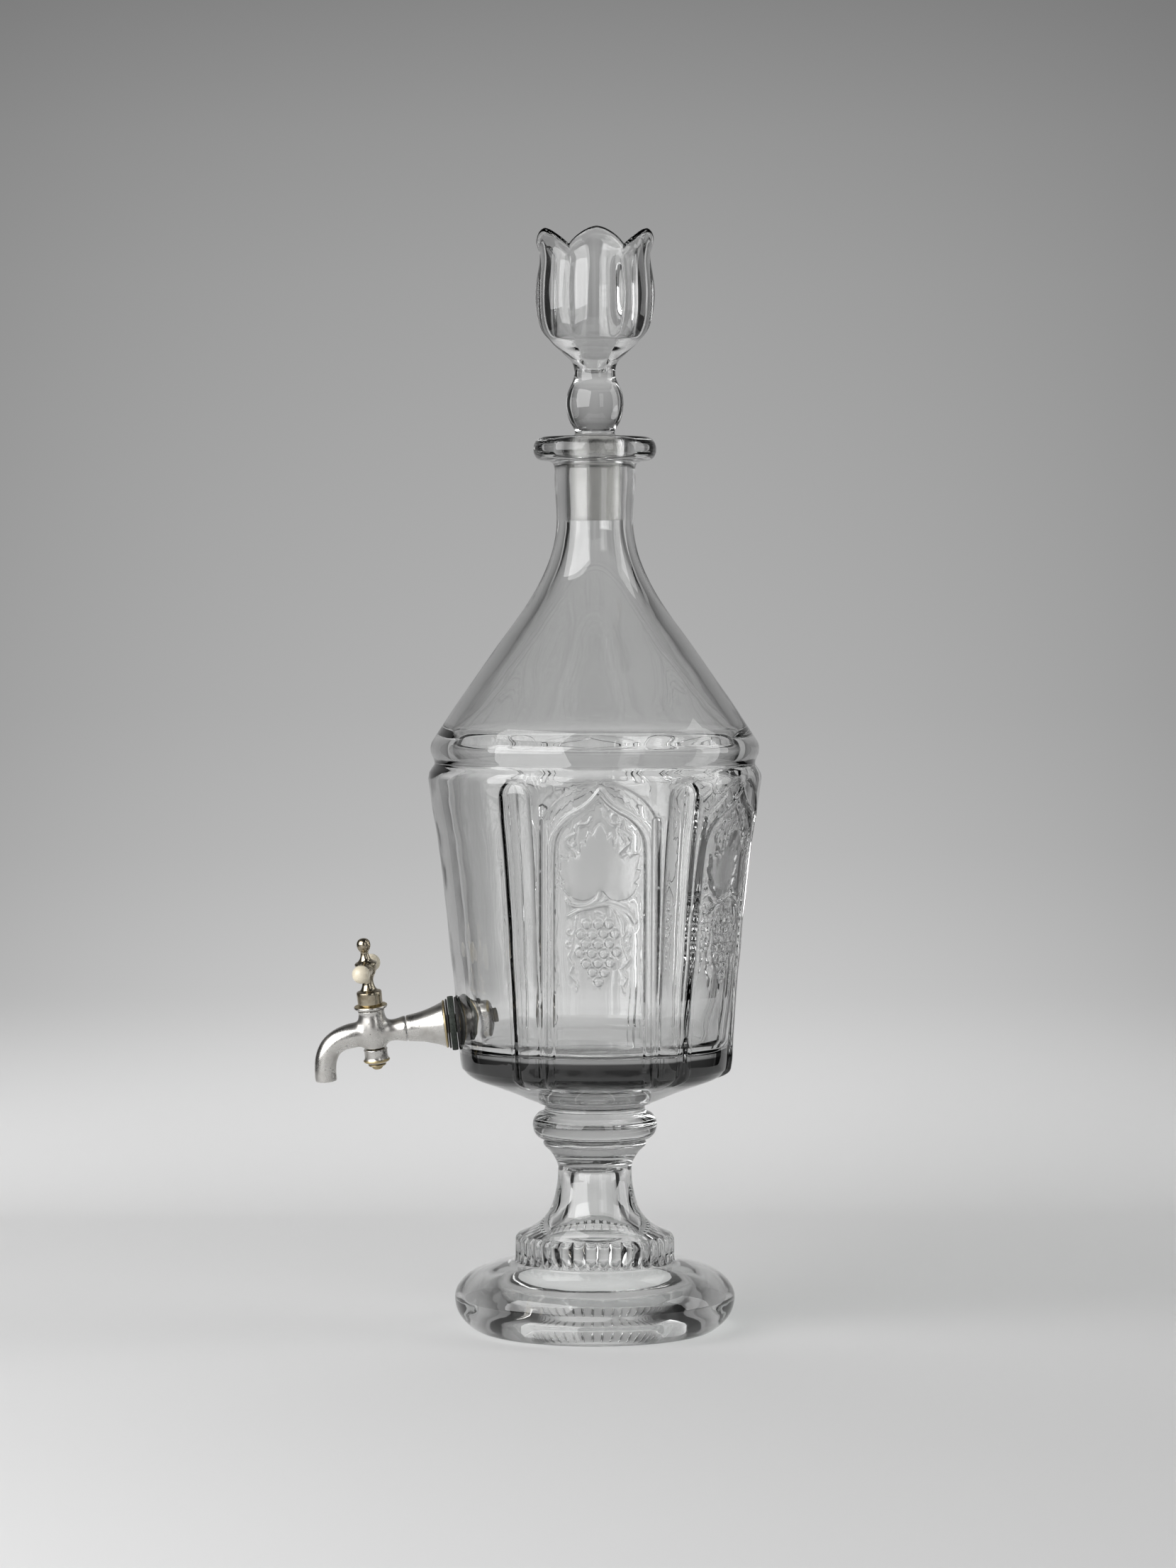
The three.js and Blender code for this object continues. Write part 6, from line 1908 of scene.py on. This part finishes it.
@dataclass(frozen=True)
class SweepPaper(Finish):
    """The studio's paper: a plain floor, and a backdrop that glows with painted light, darker as it rises.
    """

    floor: Colour = (0.8, 0.8, 0.8)
    rises: float = 0.9
    centre: float = 0.0
    side_fall: float = 2.0
    most_fall: float = 0.8
    side_tone: Colour = (0.1, 0.1, 0.1)
    fade: tuple[float, float] = (0.001, 0.12)
    stops: tuple[tuple[float, float], ...] = (
        (0.0, 219.0), (0.03, 219.0), (0.07, 212.0), (0.12, 202.0), (0.22, 187.0), (0.32, 177.0),
        (0.42, 171.5), (0.51, 166.5), (0.61, 160.0), (0.71, 150.0), (0.8, 135.0), (0.9, 118.0),
        (1.0, 100.0))

    @staticmethod
    def grey(value: float) -> Colour:
        """Turns a display grey from 0 to 255 into a linear colour."""
        share = value / 255
        linear = share / 12.92 if share <= 0.04045 else ((share + 0.055) / 1.055) ** 2.4
        return (linear,) * 3

    def surface(self, sheet: Sheet) -> Signal:
        """Builds paper whose painted glow, darker up and to the sides, shows to the camera, to glass and to
        metal.
        """
        x, _, z = sheet.split(sheet.place())
        ramp = sheet.out("ShaderNodeValToRGB", {"stops": [(p, self.grey(g)) for p, g in self.stops]},
                         {"Fac": z / self.rises}, "Color")
        aside = ((x - self.centre) ** 2.0) * self.side_fall
        tone = sheet.blend(aside.math("MINIMUM", self.most_fall), ramp, self.side_tone)
        # Painted light: the glow darkens as the paper rises and towards its sides
        glow = sheet.out("ShaderNodeEmission", {}, {"Color": tone, "Strength": 1.0})
        plain = sheet.out("ShaderNodeBsdfDiffuse", {}, {"Color": rgba(self.floor)})
        camera, glossy, through = sheet.rays("Camera", "Glossy", "Transmission")
        seen = (camera + glossy + through).math("MINIMUM", 1.0)
        front = sheet.mix(seen * z.between(*self.fade), plain, glow)
        behind = sheet.out("ShaderNodeNewGeometry", {}, {}, "Backfacing")
        return sheet.mix(behind, front, sheet.out("ShaderNodeBsdfTransparent"))


@dataclass
class Studio:
    """A pale floor that sweeps up behind the urn, soft lamps and dark surroundings."""

    centre: float
    back: float = 0.62
    curve: float = 0.22
    half_width: float = 0.62
    front: float = -0.95
    height: float = 1.3
    world_level: float = 0.02
    flat_level: float = 0.5
    flats: int = 8
    flat_edge: tuple[float, float] = (0.6, 0.85)
    flat_ends: tuple[float, float] = (0.55, 0.8)
    overhead: tuple[float, float] = (-0.1, 0.6)
    overhead_share: float = 0.5
    aim: tuple[float, float, float] = (0.0, 0.0, 0.35)
    lamps: tuple[tuple[str, Sequence[float], Point, float], ...] = (
        ("window", (-1.16, -0.9, 0.85), (1.7, 1.5), 36.0),
        ("strip", (0.76, -1.63, 0.7), (0.5, 1.3), 3.3),
        ("side", (1.4, 0.0, 0.7), (0.7, 1.3), 6.3))

    def make(self) -> None:
        """Builds the sweep, the lamps and the world."""
        self.sweep()
        self.world()
        for lamp in self.lamps:
            self.lamp(*lamp)

    def sweep(self) -> None:
        """Builds floor and backdrop as one curved sheet."""
        bend = [(self.back - self.curve * (1 - math.sin(a)), self.curve * (1 - math.cos(a)))
                for a in np.linspace(0, math.pi / 2, 25)]
        line = [(self.front, 0.0), *bend, (self.back, self.height)]
        points = [(self.centre + side * self.half_width, y, z) for y, z in line for side in (-1, 1)]
        faces = [(2 * i, 2 * i + 1, 2 * i + 3, 2 * i + 2) for i in range(len(line) - 1)]
        data = bpy.data.meshes.new("paper_sweep")
        data.from_pydata(points, [], faces)
        paper = placed(data, "paper_sweep", Matrix.Identity(4))
        paper.data.materials.append(SweepPaper("studio_paper", centre=self.centre).build())

    def world(self) -> None:
        """Sets dim surroundings with a ring of pale flats, which give no light of their own.

        The flats are seen through glass; a plain view of the surroundings is pale all round.
        """
        world = bpy.data.worlds.new("studio_dark")
        bpy.context.scene.world = world
        world.use_nodes = True
        world.node_tree.nodes.clear()
        sheet = Sheet(world.node_tree)
        x, y, z = sheet.split(sheet.out("ShaderNodeTexCoord", {}, {}, "Generated"))
        flat = (x.math("ARCTAN2", y) * float(self.flats)).math("COSINE").between(*self.flat_edge)
        flat = flat * (1 - z.math("ABSOLUTE").between(*self.flat_ends))
        camera, through = sheet.rays("Camera", "Transmission")
        seen = (camera + through * flat).math("MINIMUM", 1.0)
        pale = self.flat_level * (1 - z.between(*self.overhead) * self.overhead_share)
        level = seen * pale + (1 - seen) * self.world_level
        sheet.node("ShaderNodeOutputWorld", {}, {"Surface": sheet.out(
            "ShaderNodeBackground", {}, {"Color": (1.0, 1.0, 1.0, 1.0), "Strength": level})})

    def lamp(self, name: str, place: Sequence[float], size: Point, power: float) -> None:
        """Adds a soft rectangular lamp that points at the urn.

        Args:
            name: The lamp's name.
            place: Where it hangs, from the urn's axis, in metres.
            size: Its width and height.
            power: Its power in watts.
        """
        light = bpy.data.lights.new(name, "AREA")
        light.shape = "RECTANGLE"
        light.size, light.size_y = size
        light.energy = power
        holder = bpy.data.objects.new(name, light)
        at = Vector(place) + Vector((self.centre, 0, 0))
        holder.location = at
        towards = Vector(self.aim) + Vector((self.centre, 0, 0)) - at
        holder.rotation_euler = towards.to_track_quat("-Z", "Y").to_euler()
        bpy.context.scene.collection.objects.link(holder)


@dataclass
class PhotoCamera:
    """The photograph's camera: far off, a little above the middle and turned towards the tap."""

    centre: float
    distance: float = 2.220
    height: float = 0.355
    turn: float = 1.8
    pitch: float = 2.33
    slide: float = 0.0033
    focal_pixels: float = 6477.0
    long_side: float = 2212.0
    sensor: float = 36.0

    def make(self) -> None:
        """Adds the camera and makes it the scene's."""
        data = bpy.data.cameras.new("photo_camera")
        data.sensor_width = self.sensor
        data.lens = self.focal_pixels * self.sensor / self.long_side
        camera = bpy.data.objects.new("photo_camera", data)
        turn = math.radians(self.turn)
        away = Vector((-math.sin(turn), -math.cos(turn), 0)) * self.distance
        right = Vector((math.cos(turn), -math.sin(turn), 0))
        camera.location = Vector((self.centre, 0, self.height)) + away - right * self.slide
        camera.rotation_euler = (math.pi / 2 - math.radians(self.pitch), 0, -turn)
        bpy.context.scene.collection.objects.link(camera)
        bpy.context.scene.camera = camera


def main() -> None:
    """Builds the studio and dresses the urn, piece by piece."""
    logging.basicConfig(level=logging.INFO, format="%(name)s %(message)s")
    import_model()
    low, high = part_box("pedestal")
    axis = (low[0] + high[0]) / 2
    bpy.context.scene.view_settings.view_transform = "Standard"
    PhotoCamera(axis).make()
    Studio(axis).make()
    finishes = Finishes(axis)
    urn = Matrix.Translation((axis, 0, 0)) @ Matrix.Scale(MILLIMETRE, 4)
    tap = TapFrame(urn)
    finishes.dress(GlassBody().make(urn, tap), Slot.GLASS, "urn", "pedestal", "joining_wafer", "urn_body")
    finishes.dress(TulipStopper().make(urn, finishes.made[Slot.GLASS]), Slot.GLASS, "stopper", "stopper")
    Packing(tap).make(finishes)
    Shank(tap).make(finishes)
    Cock(tap).make(finishes)
    Key(tap).make(finishes)
    bpy.context.view_layer.update()


if __name__ == "__main__":
    main()
